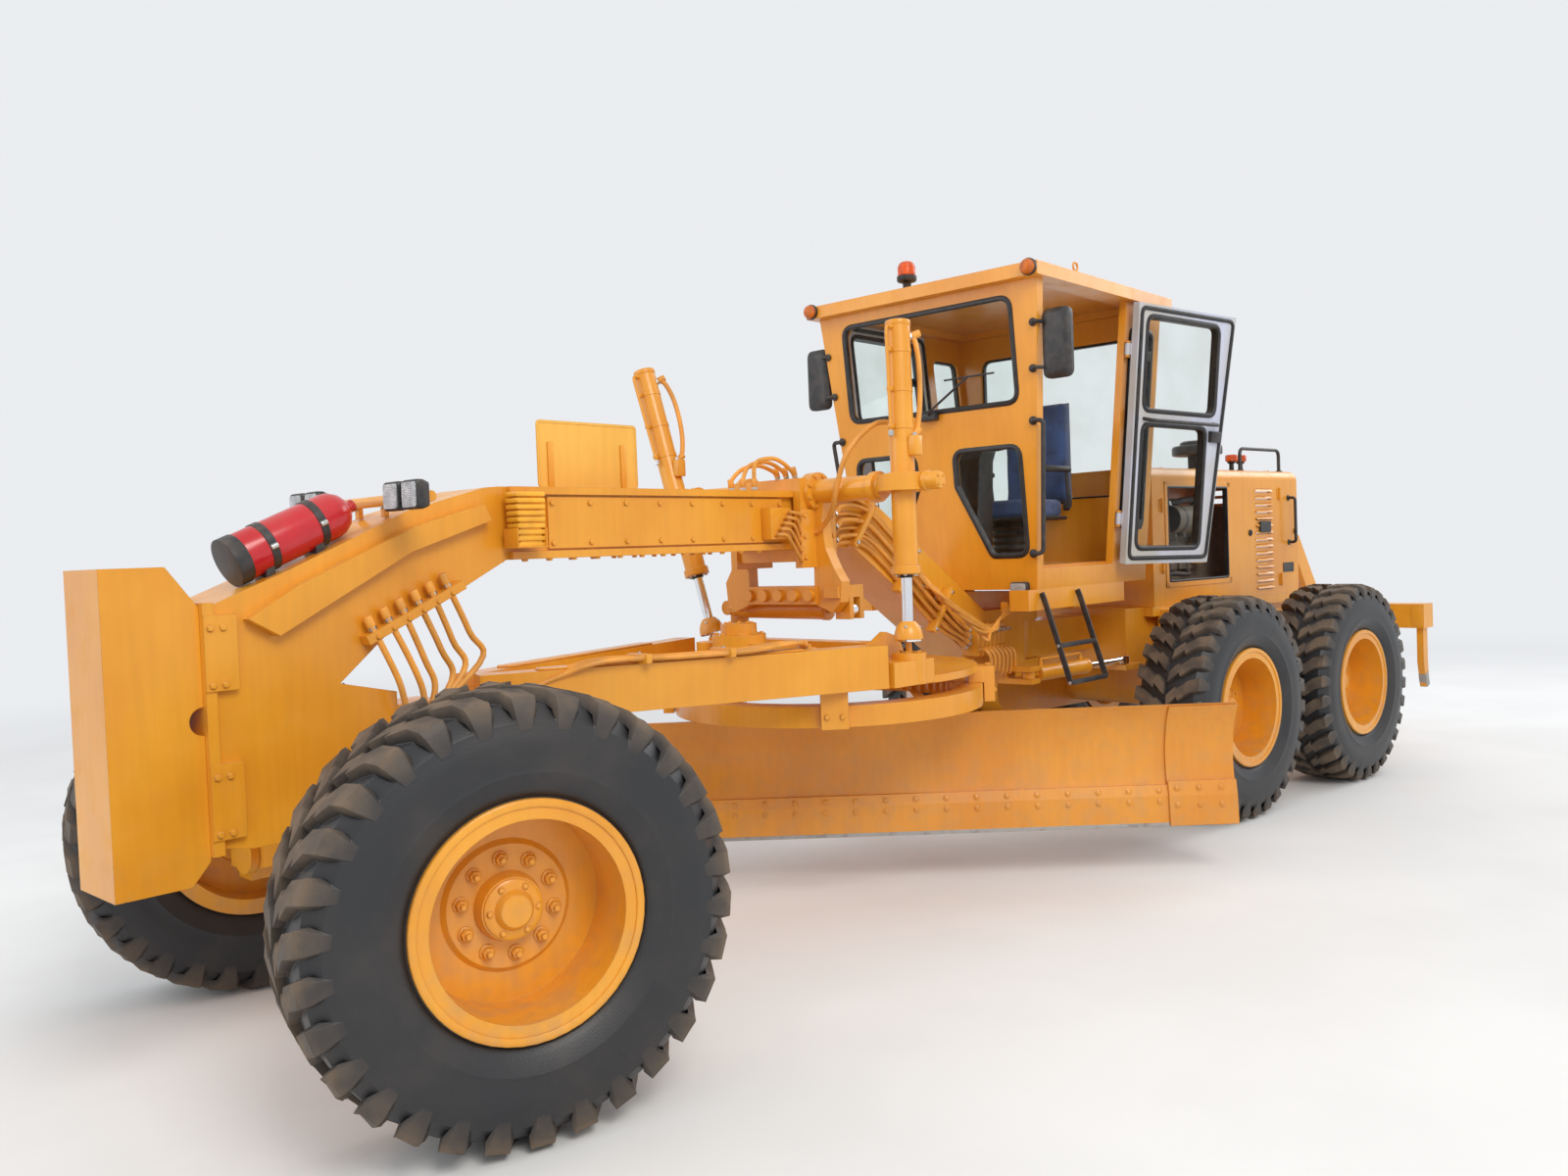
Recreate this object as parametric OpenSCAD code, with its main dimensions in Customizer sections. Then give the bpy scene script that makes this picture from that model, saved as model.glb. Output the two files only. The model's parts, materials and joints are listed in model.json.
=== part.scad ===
/* [Wheels and axles] */
// Distance from the front axle to the middle of the tandem
wheelbase = 5918; // [5700:1:6200]
// Distance between the two wheels of a tandem
tandem_spacing = 1522; // [1480:1:1600]
// Distance between the left and right wheel centres
track = 2030; // [2010:1:2100]
// Radius over the tyre lugs
tyre_r = 665; // [650:1:680]
// Width across a tyre's sidewalls
tyre_w = 445; // [435:1:450]
// Height of the tread lugs
lug_h = 32; // [20:1:40]
// Radius over the rim flanges
rim_r = 352; // [345:1:360]
// Width across the rim flanges
rim_w = 380; // [370:1:390]
// Radius of the rim barrel under the bead
seat_r = 305; // [300:1:310]
// Thickness of the rim's metal
rim_t = 13; // [10:1:16]
// How far the wheel disc sits behind the wheel's middle plane
disc_back = 30; // [20:1:45]
// Sideways distance of a kingpin from the centreline
kingpin_y = 800; // [790:1:805]
// Radius of a kingpin
kingpin_r = 32; // [28:1:36]
// Sideways distance of a lean pivot from the centreline
lean_y = 630; // [620:1:640]
// Height of a lean pivot
lean_z = 610; // [600:1:620]
// Width of the front axle beam along the machine
axle_w = 200; // [180:1:210]
// Length of a steering arm
arm_len = 220; // [200:1:230]

/* [Main frame] */
// Width of the main frame
frame_w = 300; // [280:1:320]
// Height of the beam's top face
beam_top = 1980; // [1960:1:2000]
// Height of the beam's bottom face
beam_bottom = 1700; // [1680:1:1710]
// Thickness of the beam's side covers
cover_t = 14; // [8:1:20]
// Height of the front push block
block_h = 1000; // [900:1:1040]
// Width of the front push block
block_w = 290; // [260:1:310]
// Distance from the front axle back to the articulation hitch
hitch_back = 4500; // [4490:1:4510]
// Radius of the hitch pin
hitch_r = 45; // [40:1:50]

/* [Cab] */
// Width of the cab at its roof
cab_w = 1500; // [1460:1:1520]
// How much narrower each side of the cab is at its base
cab_taper = 150; // [130:1:160]
// Height of the cab walls' lower edge
cab_z = 1430; // [1420:1:1440]
// Height of the cab walls' upper edge
cab_top = 3090; // [3060:1:3110]
// How far the windscreen wall leans forward at the top
cab_rake = 165; // [140:1:170]
// Thickness of the cab walls and doors
wall_t = 45; // [38:1:50]
// Thickness of the roof
roof_t = 82; // [70:1:90]
// Thickness of the window glass
glass_t = 6; // [5:1:8]

/* [Blade gear] */
// Outer radius of the circle
circle_r = 765; // [750:1:780]
// Distance from the front axle back to the circle's centre
circle_back = 2500; // [2490:1:2510]
// Length of the moldboard
blade_len = 3658; // [3500:1:3660]
// Height of the moldboard with its cutting edge
blade_h = 610; // [600:1:620]
// Height of the cutting edge above the ground as parked
blade_z = 250; // [240:1:260]
// Thickness of the moldboard
blade_t = 24; // [20:1:28]
// Radius of the drawbar's ball
ball_r = 60; // [56:1:64]
// Radius of a lift cylinder's barrel
lift_r = 56; // [52:1:60]
// Radius of a lift cylinder's rod
lift_rod_r = 25; // [22:1:28]

/* [Rear body] */
// Width of the hood
hood_w = 900; // [880:1:920]
// Height of the hood's top
hood_top = 2150; // [2130:1:2170]
// Height of the hood's lower edge
hood_z = 1240; // [1220:1:1260]
// Thickness of the hood's panels
hood_t = 30; // [24:1:36]
// Half the width of the ripper beam
ripper_half = 930; // [900:1:950]

/* [Rest pose] */
// Steering angle to the right
steer_rest = 16; // [14:1:18]
// Articulation angle, the rear turned clockwise
artic_rest = 6.5; // [6:0.1:7]
// Drawbar angle towards the left side
yaw_rest = 3.1; // [2.8:0.1:3.4]
// Circle angle, the left blade end towards the rear
circle_rest = 44.5; // [43:0.1:46]
// Side shift of the moldboard towards its left end
shift_rest = 190; // [180:1:200]
// Opening angle of the left door
door_rest = 168; // [166:1:169]

/* [Hidden] */

yellow = [0.93, 0.62, 0.13];
pale = [0.80, 0.80, 0.76];
black = [0.06, 0.06, 0.07];
chrome = [0.85, 0.86, 0.88];

// Place of the front axle in the part's frame, so that the whole stands over the origin
axle_x = 3909;
axle_y = -149.5;
// Clearances: between still faces, between turning faces, between moving pieces
seat_gap = 0.3;
run_gap = 0.5;
move_gap = 6;
$fn = 48;

mid_x = -wheelbase + tandem_spacing / 2;
rear_x = -wheelbase - tandem_spacing / 2;
ball = [-290, 0, 1100];
circle_x = -circle_back;
stud_x = ball[0] - 2040;
stud_y = 670;
stud_z = 1277;
yoke = [-2330, 750, 1985];

module turn_about(p, a) {
    translate(p) rotate(a) translate(-p) children();
}
module on_front() {
    translate([axle_x, axle_y, 0]) children();
}
module on_rear() {
    on_front() turn_about([-hitch_back, 0, 0], [0, 0, -artic_rest]) children();
}
module on_drawbar() {
    on_front() turn_about(ball, [0, 0, -yaw_rest]) children();
}
module on_circle() {
    on_drawbar() translate([circle_x, 0, 0]) rotate([0, 0, circle_rest]) children();
}
module on_blade() {
    on_circle() translate([0, shift_rest, 0]) children();
}
// A profile in X and Z, spread evenly across Y
module side_slab(w) {
    rotate([90, 0, 0]) translate([0, 0, -w / 2]) linear_extrude(w) children();
}
// A profile in Y and Z, run along X from x0 over a length
module cross_slab(x0, l) {
    translate([x0, 0, 0]) rotate([90, 0, 90]) linear_extrude(l) children();
}
// The same at a given middle Y
module side_slab_at(y, w) {
    translate([0, y, 0]) side_slab(w) children();
}
module box(x0, x1, y0, y1, z0, z1) {
    translate([x0, y0, z0]) cube([x1 - x0, y1 - y0, z1 - z0]);
}
module both_sides() {
    children();
    mirror([0, 1, 0]) children();
}
// A rod of radius r from point p to point q
function span(p, q) = norm(q - p);
module along(p, q) {
    d = q - p;
    translate(p) rotate([0, acos(d[2] / norm(d)), atan2(d[1], d[0])]) children();
}
module rod(p, q, r) {
    along(p, q) cylinder(h = span(p, q), r = r, $fn = 32);
}
module cyl_x(x0, x1, y, z, r) {
    translate([x0, y, z]) rotate([0, 90, 0]) cylinder(h = x1 - x0, r = r);
}
module cyl_y(x, y0, y1, z, r) {
    translate([x, y0, z]) rotate([-90, 0, 0]) cylinder(h = y1 - y0, r = r);
}
// A rectangle with round corners
module round_rect(w, h, rad) {
    corners = [[w - rad, rad, -90], [w - rad, h - rad, 0], [rad, h - rad, 90], [rad, rad, 180]];
    polygon([for (c = corners, a = [0, 30, 60, 90]) [c[0] + rad * cos(c[2] + a),
        c[1] + rad * sin(c[2] + a)]]);
}

// Wheels: drawn with the axis along Z and the outer side up
// Lugs in each of a tyre's two rows, and how far a lug leans from shoulder to middle, in degrees
lugs = 22;
lug_lean = 6;
lug_pitch = 360 / lugs;
// A lug's four columns as shares of the spacing: two on its top, two in the gap, swapped in the other row
lug_columns = [-0.23, 0.23, 0.27, 0.73];
module tyre_solid() {
    half = tyre_w / 2;
    bead = rim_w / 2 - rim_t - seat_gap;
    flat = 1 / cos(lug_pitch / 2);
    // Turned so that a corner of a lug points straight down
    down = 90 - lug_columns[0] * lug_pitch - lug_lean;
    // Radius and side of the carcass rings from bore to sidewall, then side and lean of the tread rings
    carcass = [[(seat_r + seat_gap) * flat, bead], [(rim_r + 4) * flat, bead], [505, half]];
    tread = [[half - 24, 0], [10, lug_lean]];
    function ring(r, z) = [for (i = [0:lugs - 1]) [r * cos(down + i * lug_pitch),
        r * sin(down + i * lug_pitch), z]];
    function lug_ring(row, t) = [for (i = [0:lugs - 1], k = [0:3])
        let (a = down + (i + lug_columns[k]) * lug_pitch + t[1], r = (k < 2) == (row > 0)
            ? tyre_r : tyre_r - lug_h)
        [r * cos(a), r * sin(a), row * t[0]]];
    c = lugs;
    q = 4 * lugs;
    // Where each ring's points start: three carcass rings and two tread rings a side
    side = 3 * c + 2 * q;
    points = concat([for (row = [1, -1]) each concat([for (p = carcass) each ring(p[0], row * p[1])],
        [for (t = tread) each lug_ring(row, t)])]);
    function band(a, b, n) = [for (i = [0:n - 1]) each [[a + i, b + i, a + (i + 1) % n], [a + (i + 1)
        % n, b + i, b + (i + 1) % n]]];
    // The band from a carcass ring's points to the four columns of each lug
    function fan(a, b) = [for (i = [0:c - 1]) each concat(
        [for (k = [-1:2]) [a + i, b + (4 * i + k + q) % q, b + (4 * i + k + 1) % q]],
        [[a + i, b + 4 * i + 3, a + (i + 1) % c]])];
    function half_faces(o) = concat(band(o, o + c, c), band(o + c, o + 2 * c, c), fan(o + 2 * c,
        o + 3 * c),
        band(o + 3 * c, o + 3 * c + q, q));
    function turned(faces) = [for (f = faces) [f[2], f[1], f[0]]];
    polyhedron(points, concat(half_faces(0), turned(half_faces(side)),
        band(3 * c + q, side + 3 * c + q, q), turned(band(0, side, c))), convexity = 8);
}
module rim_solid() {
    e = rim_w / 2;
    rotate_extrude($fn = 64) union() {
        polygon([[seat_r - rim_t, -e], [rim_r, -e], [rim_r, -e + rim_t], [seat_r, -e + rim_t], [seat_r,
            e - rim_t],
            [rim_r, e - rim_t], [rim_r, e], [seat_r - rim_t, e]]);
        polygon([[0, -disc_back - 50], [165, -disc_back - 50], [175, -disc_back - 20], [seat_r - rim_t,
            -disc_back - 20],
            [seat_r - rim_t, -disc_back], [200, -disc_back], [185, -disc_back + 14], [105,
                -disc_back + 14],
            [95, -disc_back + 60], [0, -disc_back + 66]]);
    }
}
hub_in = track / 2 - disc_back - 50;
module wheel_at(x, side) {
    translate([x, side * track / 2, tyre_r]) rotate([-90 * side, 0, 0]) children();
}
module steered(side) {
    on_front() turn_about([0, side * kingpin_y, 0], [0, 0, -steer_rest]) children();
}
module front_wheel(side) {
    steered(side) wheel_at(0, side) children();
}
module tyre_front_left() color(black) front_wheel(1) tyre_solid();
module tyre_front_right() color(black) front_wheel(-1) tyre_solid();
module rim_front_left() color(yellow) front_wheel(1) rim_solid();
module rim_front_right() color(yellow) front_wheel(-1) rim_solid();
module tyre_mid_left() color(black) on_rear() wheel_at(mid_x, 1) tyre_solid();
module tyre_mid_right() color(black) on_rear() wheel_at(mid_x, -1) tyre_solid();
module tyre_rear_left() color(black) on_rear() wheel_at(rear_x, 1) tyre_solid();
module tyre_rear_right() color(black) on_rear() wheel_at(rear_x, -1) tyre_solid();
module rim_mid_left() color(yellow) on_rear() wheel_at(mid_x, 1) rim_solid();
module rim_mid_right() color(yellow) on_rear() wheel_at(mid_x, -1) rim_solid();
module rim_rear_left() color(yellow) on_rear() wheel_at(rear_x, 1) rim_solid();
module rim_rear_right() color(yellow) on_rear() wheel_at(rear_x, -1) rim_solid();

// Front axle
nose_z = 800;
pivot_r = 70;
ear_r = 80;
ear_t = 34;
ear_gap = 1;
axle_half = axle_w / 2;
arm_top = 850;
arm_low = 480;
arm_t = 50;
web_y = kingpin_y - 95;
web_t = 22;
bar_z = 760;
bar_t = 40;
module front_axle() {
    color(yellow) on_front() difference() {
        union() {
            cross_slab(-axle_half, axle_w) polygon([[-600, 545], [-380, 600], [380, 600], [600, 545],
                [lean_y, lean_z + 40], [560, 690], [240, nose_z - seat_gap], [-240, nose_z - seat_gap],
                [-560, 690], [-lean_y, lean_z + 40]]);
            for (s = [-1, 1]) cyl_x(-axle_half, axle_half, s * lean_y, lean_z, pivot_r);
        }
        for (s = [-1, 1]) cyl_x(-axle_half - 1, axle_half + 1, s * lean_y, lean_z, 30);
    }
}
// Left lean carrier: two ears on the pivot, a web, and the two arms that hold the kingpin
module lean_carrier() {
    ear_x = axle_half + ear_gap;
    union() {
        difference() {
            union() {
                for (s = [-1, 1]) {
                    cyl_x(s > 0 ? ear_x : -ear_x - ear_t, s > 0 ? ear_x + ear_t : -ear_x, lean_y,
                        lean_z, ear_r);
                    box(s > 0 ? ear_x : -ear_x - ear_t, s > 0 ? ear_x + ear_t : -ear_x, lean_y,
                        web_y + web_t,
                        lean_z - 60, lean_z + 60);
                }
                box(-ear_x - ear_t, ear_x + ear_t, web_y, web_y + web_t, lean_z - 60, lean_z + 60);
                box(-30, 70, web_y, web_y + web_t, arm_low, arm_top);
                for (z = [arm_low, arm_top - arm_t]) {
                    box(-30, 70, web_y, kingpin_y, z, z + arm_t);
                    translate([0, kingpin_y, z]) cylinder(h = arm_t, r = 70);
                }
                box(ear_x, ear_x + ear_t, lean_y - 30, lean_y + 60, lean_z, bar_z);
                cyl_x(ear_x, ear_x + ear_t, lean_y, bar_z, 36);
            }
            translate([0, kingpin_y, arm_low - 1]) cylinder(h = arm_top - arm_low + 2,
                r = kingpin_r + run_gap);
        }
        cyl_x(-ear_x - ear_t, ear_x + ear_t, lean_y, lean_z, 30 - run_gap);
        cyl_x(ear_x, ear_x + ear_t + bar_t + 10, lean_y, bar_z, 16);
    }
}
module lean_left() color(yellow) on_front() lean_carrier();
module lean_right() color(yellow) on_front() mirror([0, 1, 0]) lean_carrier();
tie_z = 775;
tie_ball = 16;
stud_r = 9;
// Left knuckle: the kingpin with its sleeve, the spindle and the steering arm between the carrier's arms
module knuckle() {
    union() {
        translate([0, kingpin_y, arm_low - 12]) cylinder(h = arm_top - arm_low + 24, r = kingpin_r);
        translate([0, kingpin_y, arm_low + arm_t + run_gap])
            cylinder(h = arm_top - arm_low - 2 * arm_t - 2 * run_gap, r = 62);
        cyl_y(0, kingpin_y, hub_in - seat_gap, tyre_r, 60);
        cyl_y(0, kingpin_y + 40, hub_in - 60, tyre_r, 95);
        box(-arm_len, 0, kingpin_y - 14, kingpin_y + 14, tie_z - 54, tie_z - 31);
        translate([-arm_len, kingpin_y, tie_z - 54]) cylinder(h = 23, r = 22);
        translate([-arm_len, kingpin_y, tie_z - 37]) cylinder(h = 37, r = stud_r);
        translate([-arm_len, kingpin_y, tie_z]) sphere(r = tie_ball);
    }
}
module knuckle_left() color(yellow) steered(1) knuckle();
module knuckle_right() color(yellow) steered(-1) mirror([0, 1, 0]) knuckle();
module lean_bar() {
    x0 = axle_half + ear_gap + ear_t + ear_gap;
    color(yellow) on_front() difference() {
        union() {
            box(x0, x0 + bar_t, -lean_y, lean_y, bar_z - 22, bar_z + 22);
            for (s = [-1, 1]) cyl_x(x0, x0 + bar_t, s * lean_y, bar_z, 36);
        }
        for (s = [-1, 1]) cyl_x(x0 - 1, x0 + bar_t + 1, s * lean_y, bar_z, 16 + run_gap);
    }
}
// The ball studs' place, after the wheels are turned to their rest angle
tie_x = -arm_len * cos(steer_rest);
tie_dy = arm_len * sin(steer_rest);
tie_liner = tie_ball + 6;
module tie_rod_ball() {
    color(chrome) on_front() translate([tie_x, kingpin_y + tie_dy, tie_z]) difference() {
        sphere(r = tie_liner);
        sphere(r = tie_ball + run_gap);
        translate([0, 0, -60]) cylinder(h = 60, r = 14);
    }
}
// The right end is open: its eye has room towards the middle for the drift of a leaning wheel pair
tie_drift = 14;
open_eye = tie_ball + tie_drift / 2 + 1.5;
// How far the tube runs behind the balls, past the lean carriers' ears
tie_set = 30;
module tie_rod() {
    color(yellow) on_front() translate([tie_x, tie_dy, tie_z]) difference() {
        union() {
            rod([-tie_set, -kingpin_y + 62, 0], [-tie_set, kingpin_y - 62, 0], 19);
            both_sides() box(-tie_set - 14, 0, kingpin_y - 92, kingpin_y - 26, -14, 14);
            translate([0, kingpin_y, -16]) cylinder(h = 44, r = 34);
            translate([0, -kingpin_y + tie_drift / 2, -12]) cylinder(h = 24, r = open_eye + 11);
        }
        translate([0, kingpin_y, 0]) sphere(r = tie_liner + run_gap);
        translate([0, kingpin_y, -30]) cylinder(h = 30, r = 19);
        translate([0, -kingpin_y + tie_drift / 2, -30]) cylinder(h = 60, r = open_eye);
    }
}

// Main frame
nose_front = 530;
nose_back = -100;
leg_z = 1300;
hitch_z = 880;
module frame_profile() {
    polygon([[nose_front, nose_z + 20], [nose_front, 1590], [262, 1696], [-179, 1889], [-500,
        beam_top - 5],
        [-560, beam_top], [-2800, beam_top], [-3900, leg_z], [-4330, leg_z], [-4330, hitch_z], [-4000,
            hitch_z],
        [-2700, beam_bottom], [-586, beam_bottom], [-367, 1590], [-84, 1463], [110, 1300], [nose_back,
            1250],
        [nose_back, nose_z], [nose_front - 100, nose_z]]);
}
socket_x = nose_back - 225;
module main_frame() {
    lug = 90;
    color(yellow) on_front() difference() {
        union() {
            side_slab(frame_w) frame_profile();
            // Flanges and side covers of the beam
            for (z = [beam_top - 30, beam_bottom]) box(-2450, -600, -frame_w / 2 - 25, frame_w / 2 + 25,
                z, z + 30);
            both_sides() box(-2150, -780, frame_w / 2, frame_w / 2 + cover_t, beam_bottom + 38,
                beam_top - 38);
            // Folded hose cover on the gooseneck
            side_slab(frame_w + 90) polygon([[330, 1480], [430, 1540], [262, 1640], [-179, 1830], [-470,
                1910],
                [-500, 1850], [-160, 1740]]);
            // Nose plate with its shim blocks
            box(nose_front, nose_front + 35, -frame_w / 2 - 20, frame_w / 2 + 20, nose_z, 1600);
            both_sides() for (z = [850, 1320]) box(nose_front - 70, nose_front + 35, frame_w / 2,
                frame_w / 2 + 25, z, z + 240);
            // Ball socket
            box(socket_x, nose_back, -95, 95, ball[2] - 95, ball[2] + 95);
            // Hitch lugs
            for (z = [hitch_z, leg_z - lug]) {
                translate([-hitch_back, 0, z]) cylinder(h = lug, r = 120);
                box(-hitch_back, -4330, -120, 120, z, z + lug);
            }
            translate([-hitch_back, 0, hitch_z - 8]) cylinder(h = leg_z - hitch_z + 23, r = hitch_r);
            // Brackets and pins of the articulation cylinders
            both_sides() {
                for (z = [artic_base[2] - 51, artic_base[2] + 21])
                    box(artic_base[0] - 50, artic_base[0] + 50, frame_w / 2 - 10, artic_base[1] + 45, z,
                        z + 30);
                box(artic_base[0] - 50, artic_base[0] + 50, frame_w / 2 - 10, artic_base[1] - 120,
                    artic_base[2] - 51, artic_base[2] + 51);
                translate(artic_base - [0, 0, 51]) cylinder(h = 102, r = artic_pin);
            }
        }
        translate(ball) sphere(r = ball_r + run_gap);
        translate([socket_x - 1, 0, ball[2]]) rotate([0, 90, 0]) cylinder(h = 40, r = 50);
    }
}
module push_block() {
    x0 = nose_front + 35 + seat_gap;
    x1 = x0 + 285;
    z1 = 1716;
    z0 = z1 - block_h;
    color(yellow) on_front() difference() {
        side_slab(block_w) polygon([[x0, z0 + 70], [x0 + 60, z0], [x1, z0], [x1, z1], [x0 + 95, z1],
            [x0, z1 - 130]]);
        cyl_y(x0, -block_w, block_w, 1228, 45);
    }
}

// Lift saddle: a frame around the beam, its arms with the lift cylinders' ring sockets, and the link bar
collar_r = 92;
collar_h = 80;
ring_out = 122;
ring_half = 38;
arm_low_z = 1480;
module lift_saddle() {
    sx = yoke[0];
    half = frame_w / 2 + 25;
    color(yellow) on_front() union() {
        difference() {
            box(sx - 110, sx + 110, -half - 45, half + 45, beam_bottom - 60, beam_top + 60);
            box(sx - 111, sx + 111, -half - seat_gap, half + seat_gap, beam_bottom - seat_gap,
                beam_top + seat_gap);
        }
        both_sides() {
            difference() {
                union() {
                    cyl_y(sx, half + 20, yoke[1] - ring_out + 12, yoke[2] - 10, 58);
                    cyl_y(sx, half + 20, half + 75, yoke[2] - 10, 92);
                    cyl_y(sx, yoke[1] - ring_out - 46, yoke[1] - ring_out - 10, yoke[2] - 10, 72);
                    box(sx - 40, sx + 40, yoke[1] - ring_out - 10, yoke[1] - 40, yoke[2] - 36,
                        yoke[2] + 34);
                    translate([yoke[0], yoke[1], yoke[2] - ring_half]) cylinder(h = 2 * ring_half,
                        r = ring_out);
                }
                translate(yoke) sphere(r = collar_r + seat_gap);
            }
            // Arms down to the link bar
            cross_slab(sx - 40, 64) polygon([[half + 30, yoke[2] - 40], [half + 120, yoke[2] - 60],
                [half + 100, 1840],
                [half + 118, 1700], [half + 170, 1600], [half + 210, 1540], [half + 200, arm_low_z - 40],
                [half + 150, arm_low_z - 90], [half + 40, arm_low_z - 50], [half + 44, 1620]]);
            box(sx - 130, sx + 130, half + 20, half + 62, beam_bottom - 90, beam_top - 90);
        }
        box(sx - 40, sx + 40, -half - 60, half + 60, arm_low_z - 50, arm_low_z + 40);
        // Bosses and locking holes of the link bar
        for (y = [-200, -100, 0, 100, 200]) cyl_x(sx + 39, sx + 62, y, arm_low_z - 5, 30);
        // Bracket and pin for the centre-shift rod
        for (x = [shift_eye[0] - 24 - shift_plate, shift_eye[0] + 24])
            box(x, x + shift_plate, shift_eye[1] - 45, shift_eye[1] + 45, shift_eye[2] - 45,
                arm_low_z + 40);
        box(shift_eye[0] - 54, sx + 40, shift_eye[1] - 45, shift_eye[1] + 45, arm_low_z - 20,
            arm_low_z + 40);
        cyl_x(shift_eye[0] - 54, shift_eye[0] + 54, shift_eye[1], shift_eye[2], 20);
    }
}

// Yoke, barrel and rod of a lift cylinder; the eye of the rod sits on the drawbar's stud
function stud(side) = ball + [
    (stud_x - ball[0]) * cos(yaw_rest) + side * stud_y * sin(yaw_rest),
    -(stud_x - ball[0]) * sin(yaw_rest) + side * stud_y * cos(yaw_rest), stud_z - ball[2]];
function yoke_at(side) = [yoke[0], side * yoke[1], yoke[2]];
eye_r = 62;
eye_in = 50;
ball_stud = 20;
barrel_up = 740;
barrel_down = 420;
module lift_barrel(side) {
    p = yoke_at(side);
    q = stud(side);
    color(yellow) on_front() along(p, q) difference() {
        union() {
            translate([0, 0, -barrel_up]) cylinder(h = barrel_up + barrel_down, r = lift_r);
            translate([0, 0, barrel_down - 40]) cylinder(h = 40, r = lift_r + 8);
            intersection() {
                sphere(r = collar_r);
                translate([0, 0, -collar_h / 2]) cylinder(h = collar_h, r = collar_r + 5);
            }
        }
        translate([0, 0, -barrel_up + 20]) cylinder(h = barrel_up + barrel_down - 60, r = lift_r - 10);
        translate([0, 0, barrel_down - 60]) cylinder(h = 80, r = lift_rod_r + run_gap);
    }
}
module lift_rod(side) {
    p = yoke_at(side);
    q = stud(side);
    l = span(p, q);
    color(chrome) on_front() difference() {
        union() {
            along(p, q) {
                translate([0, 0, -420]) cylinder(h = l + 420 - eye_in - 3, r = lift_rod_r);
                translate([0, 0, -440]) cylinder(h = 50, r = lift_r - 10 - run_gap);
            }
            translate(q) sphere(r = eye_r);
        }
        translate(q) sphere(r = eye_in);
        translate(q - [0, 0, 90]) cylinder(h = 80, r = eye_r + 5);
    }
}
module lift_barrel_left() lift_barrel(1);
module lift_barrel_right() lift_barrel(-1);
module lift_rod_left() lift_rod(1);
module lift_rod_right() lift_rod(-1);

// Drawbar with its ball, legs, cross plates, studs and circle drive
leg_z0 = 1075;
leg_z1 = 1265;
ring_top = 1005;
ring_h = 95;
module drawbar() {
    color(yellow) on_drawbar() union() {
        translate(ball) sphere(r = ball_r);
        rod(ball, ball - [100, 0, 0], 28);
        box(-560, ball[0] - 90, -70, 70, ball[2] - 60, ball[2] + 60);
        both_sides() translate([-500, 40, 0]) rotate([0, 0, 180 - 21]) box(0, 1760, -55, 55, leg_z0,
            leg_z1);
        box(-2290, -2190, -stud_y + 130, stud_y - 130, leg_z0, leg_z1);
        box(-2420, -2140, -stud_y - 70, stud_y + 70, leg_z0, leg_z1 - 80);
        translate([circle_x, 0, leg_z0 - 4]) difference() {
            cylinder(h = 34, r = circle_r - 25, $fn = 96);
            translate([0, 0, -1]) cylinder(h = 36, r = circle_r - 260, $fn = 96);
        }
        both_sides() {
            translate([stud_x, stud_y, leg_z1 - 90]) cylinder(h = stud_z - leg_z1 + 90, r = 14);
            translate([stud_x, stud_y, stud_z]) sphere(r = ball_stud);
        }
        // Bosses under the studs and the upstanding guide beside the left one
        both_sides() translate([stud_x, stud_y, leg_z0]) cylinder(h = leg_z1 - 50 - leg_z0, r = 78);
        side_slab_at(stud_y - 150, 40) polygon([[stud_x + 150, leg_z1 - 90], [stud_x + 90, leg_z1 - 10],
            [stud_x, leg_z1 + 40],
            [stud_x - 90, leg_z1 + 10], [stud_x - 130, leg_z1 - 90]]);
        // Circle drive
        translate([-1906, 0, leg_z0 + 200]) cylinder(h = 90, r = 84);
        cyl_y(-1906, 330, 480, leg_z0 + 130, 62);
        translate([-1906, -200, leg_z0 + 50]) cylinder(h = 150, r = 70);
        translate([-1906, 0, leg_z0 - 10]) cylinder(h = 250, r = 126);
        box(-1956, -1856, 100, 420, leg_z0 + 60, leg_z0 + 200);
        box(-1976, -1836, -460, 460, leg_z0 - 2, leg_z0 + 62);
        // Shoes that hold the circle
        for (a = [45, 135, 225, 315]) translate([circle_x, 0, 0]) rotate([0, 0, a]) {
            box(circle_r - 70, circle_r + 60, -60, 60, ring_top + seat_gap, leg_z0 + 10);
            box(circle_r + 6, circle_r + 60, -60, 60, ring_top - ring_h, ring_top + 20);
        }
        // Bracket beside the centre-shift cylinder's end
        turn_about(ball, [0, 0, yaw_rest]) {
            px = shift_base[0] - 20 - open_gap;
            box(px - 35, px, shift_base[1] - 50, shift_base[1] + 50, leg_z0, shift_base[2] + 40);
            box(px - 35, -2330, shift_base[1] - 50, shift_base[1] + 50, leg_z0, leg_z1 - 30);
        }
    }
}
// Circle with the two arms that carry the blade, in the blade's frame
arm_y = 470;
tip_x = -200;
tip_z = 420;
module turn_circle() {
    color(yellow) on_circle() union() {
        translate([0, 0, ring_top - ring_h]) difference() {
            cylinder(h = ring_h, r = circle_r, $fn = 96);
            translate([0, 0, -1]) cylinder(h = ring_h + 2, r = circle_r - 110, $fn = 96);
        }
        difference() {
            for (s = [-1, 1]) translate([0, s * arm_y, 0]) side_slab(60)
                polygon([[-600, ring_top - ring_h + 10],
                [350, ring_top - ring_h + 10], [350, ring_top - ring_h - 14], [-130,
                    ring_top - ring_h - 16],
                [tip_x + 40, 800], [tip_x + 50, tip_z - 60], [tip_x - 60, tip_z - 60], [-380, 700],
                [-600, ring_top - ring_h - 40]]);
            cyl_y(tip_x, -arm_y - 40, arm_y + 40, tip_z, 30 + run_gap);
        }
    }
}
rail_h = 50;
rail_d = 46;
rails = [blade_z + 130, blade_z + 520];
shoe = 22;
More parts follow.
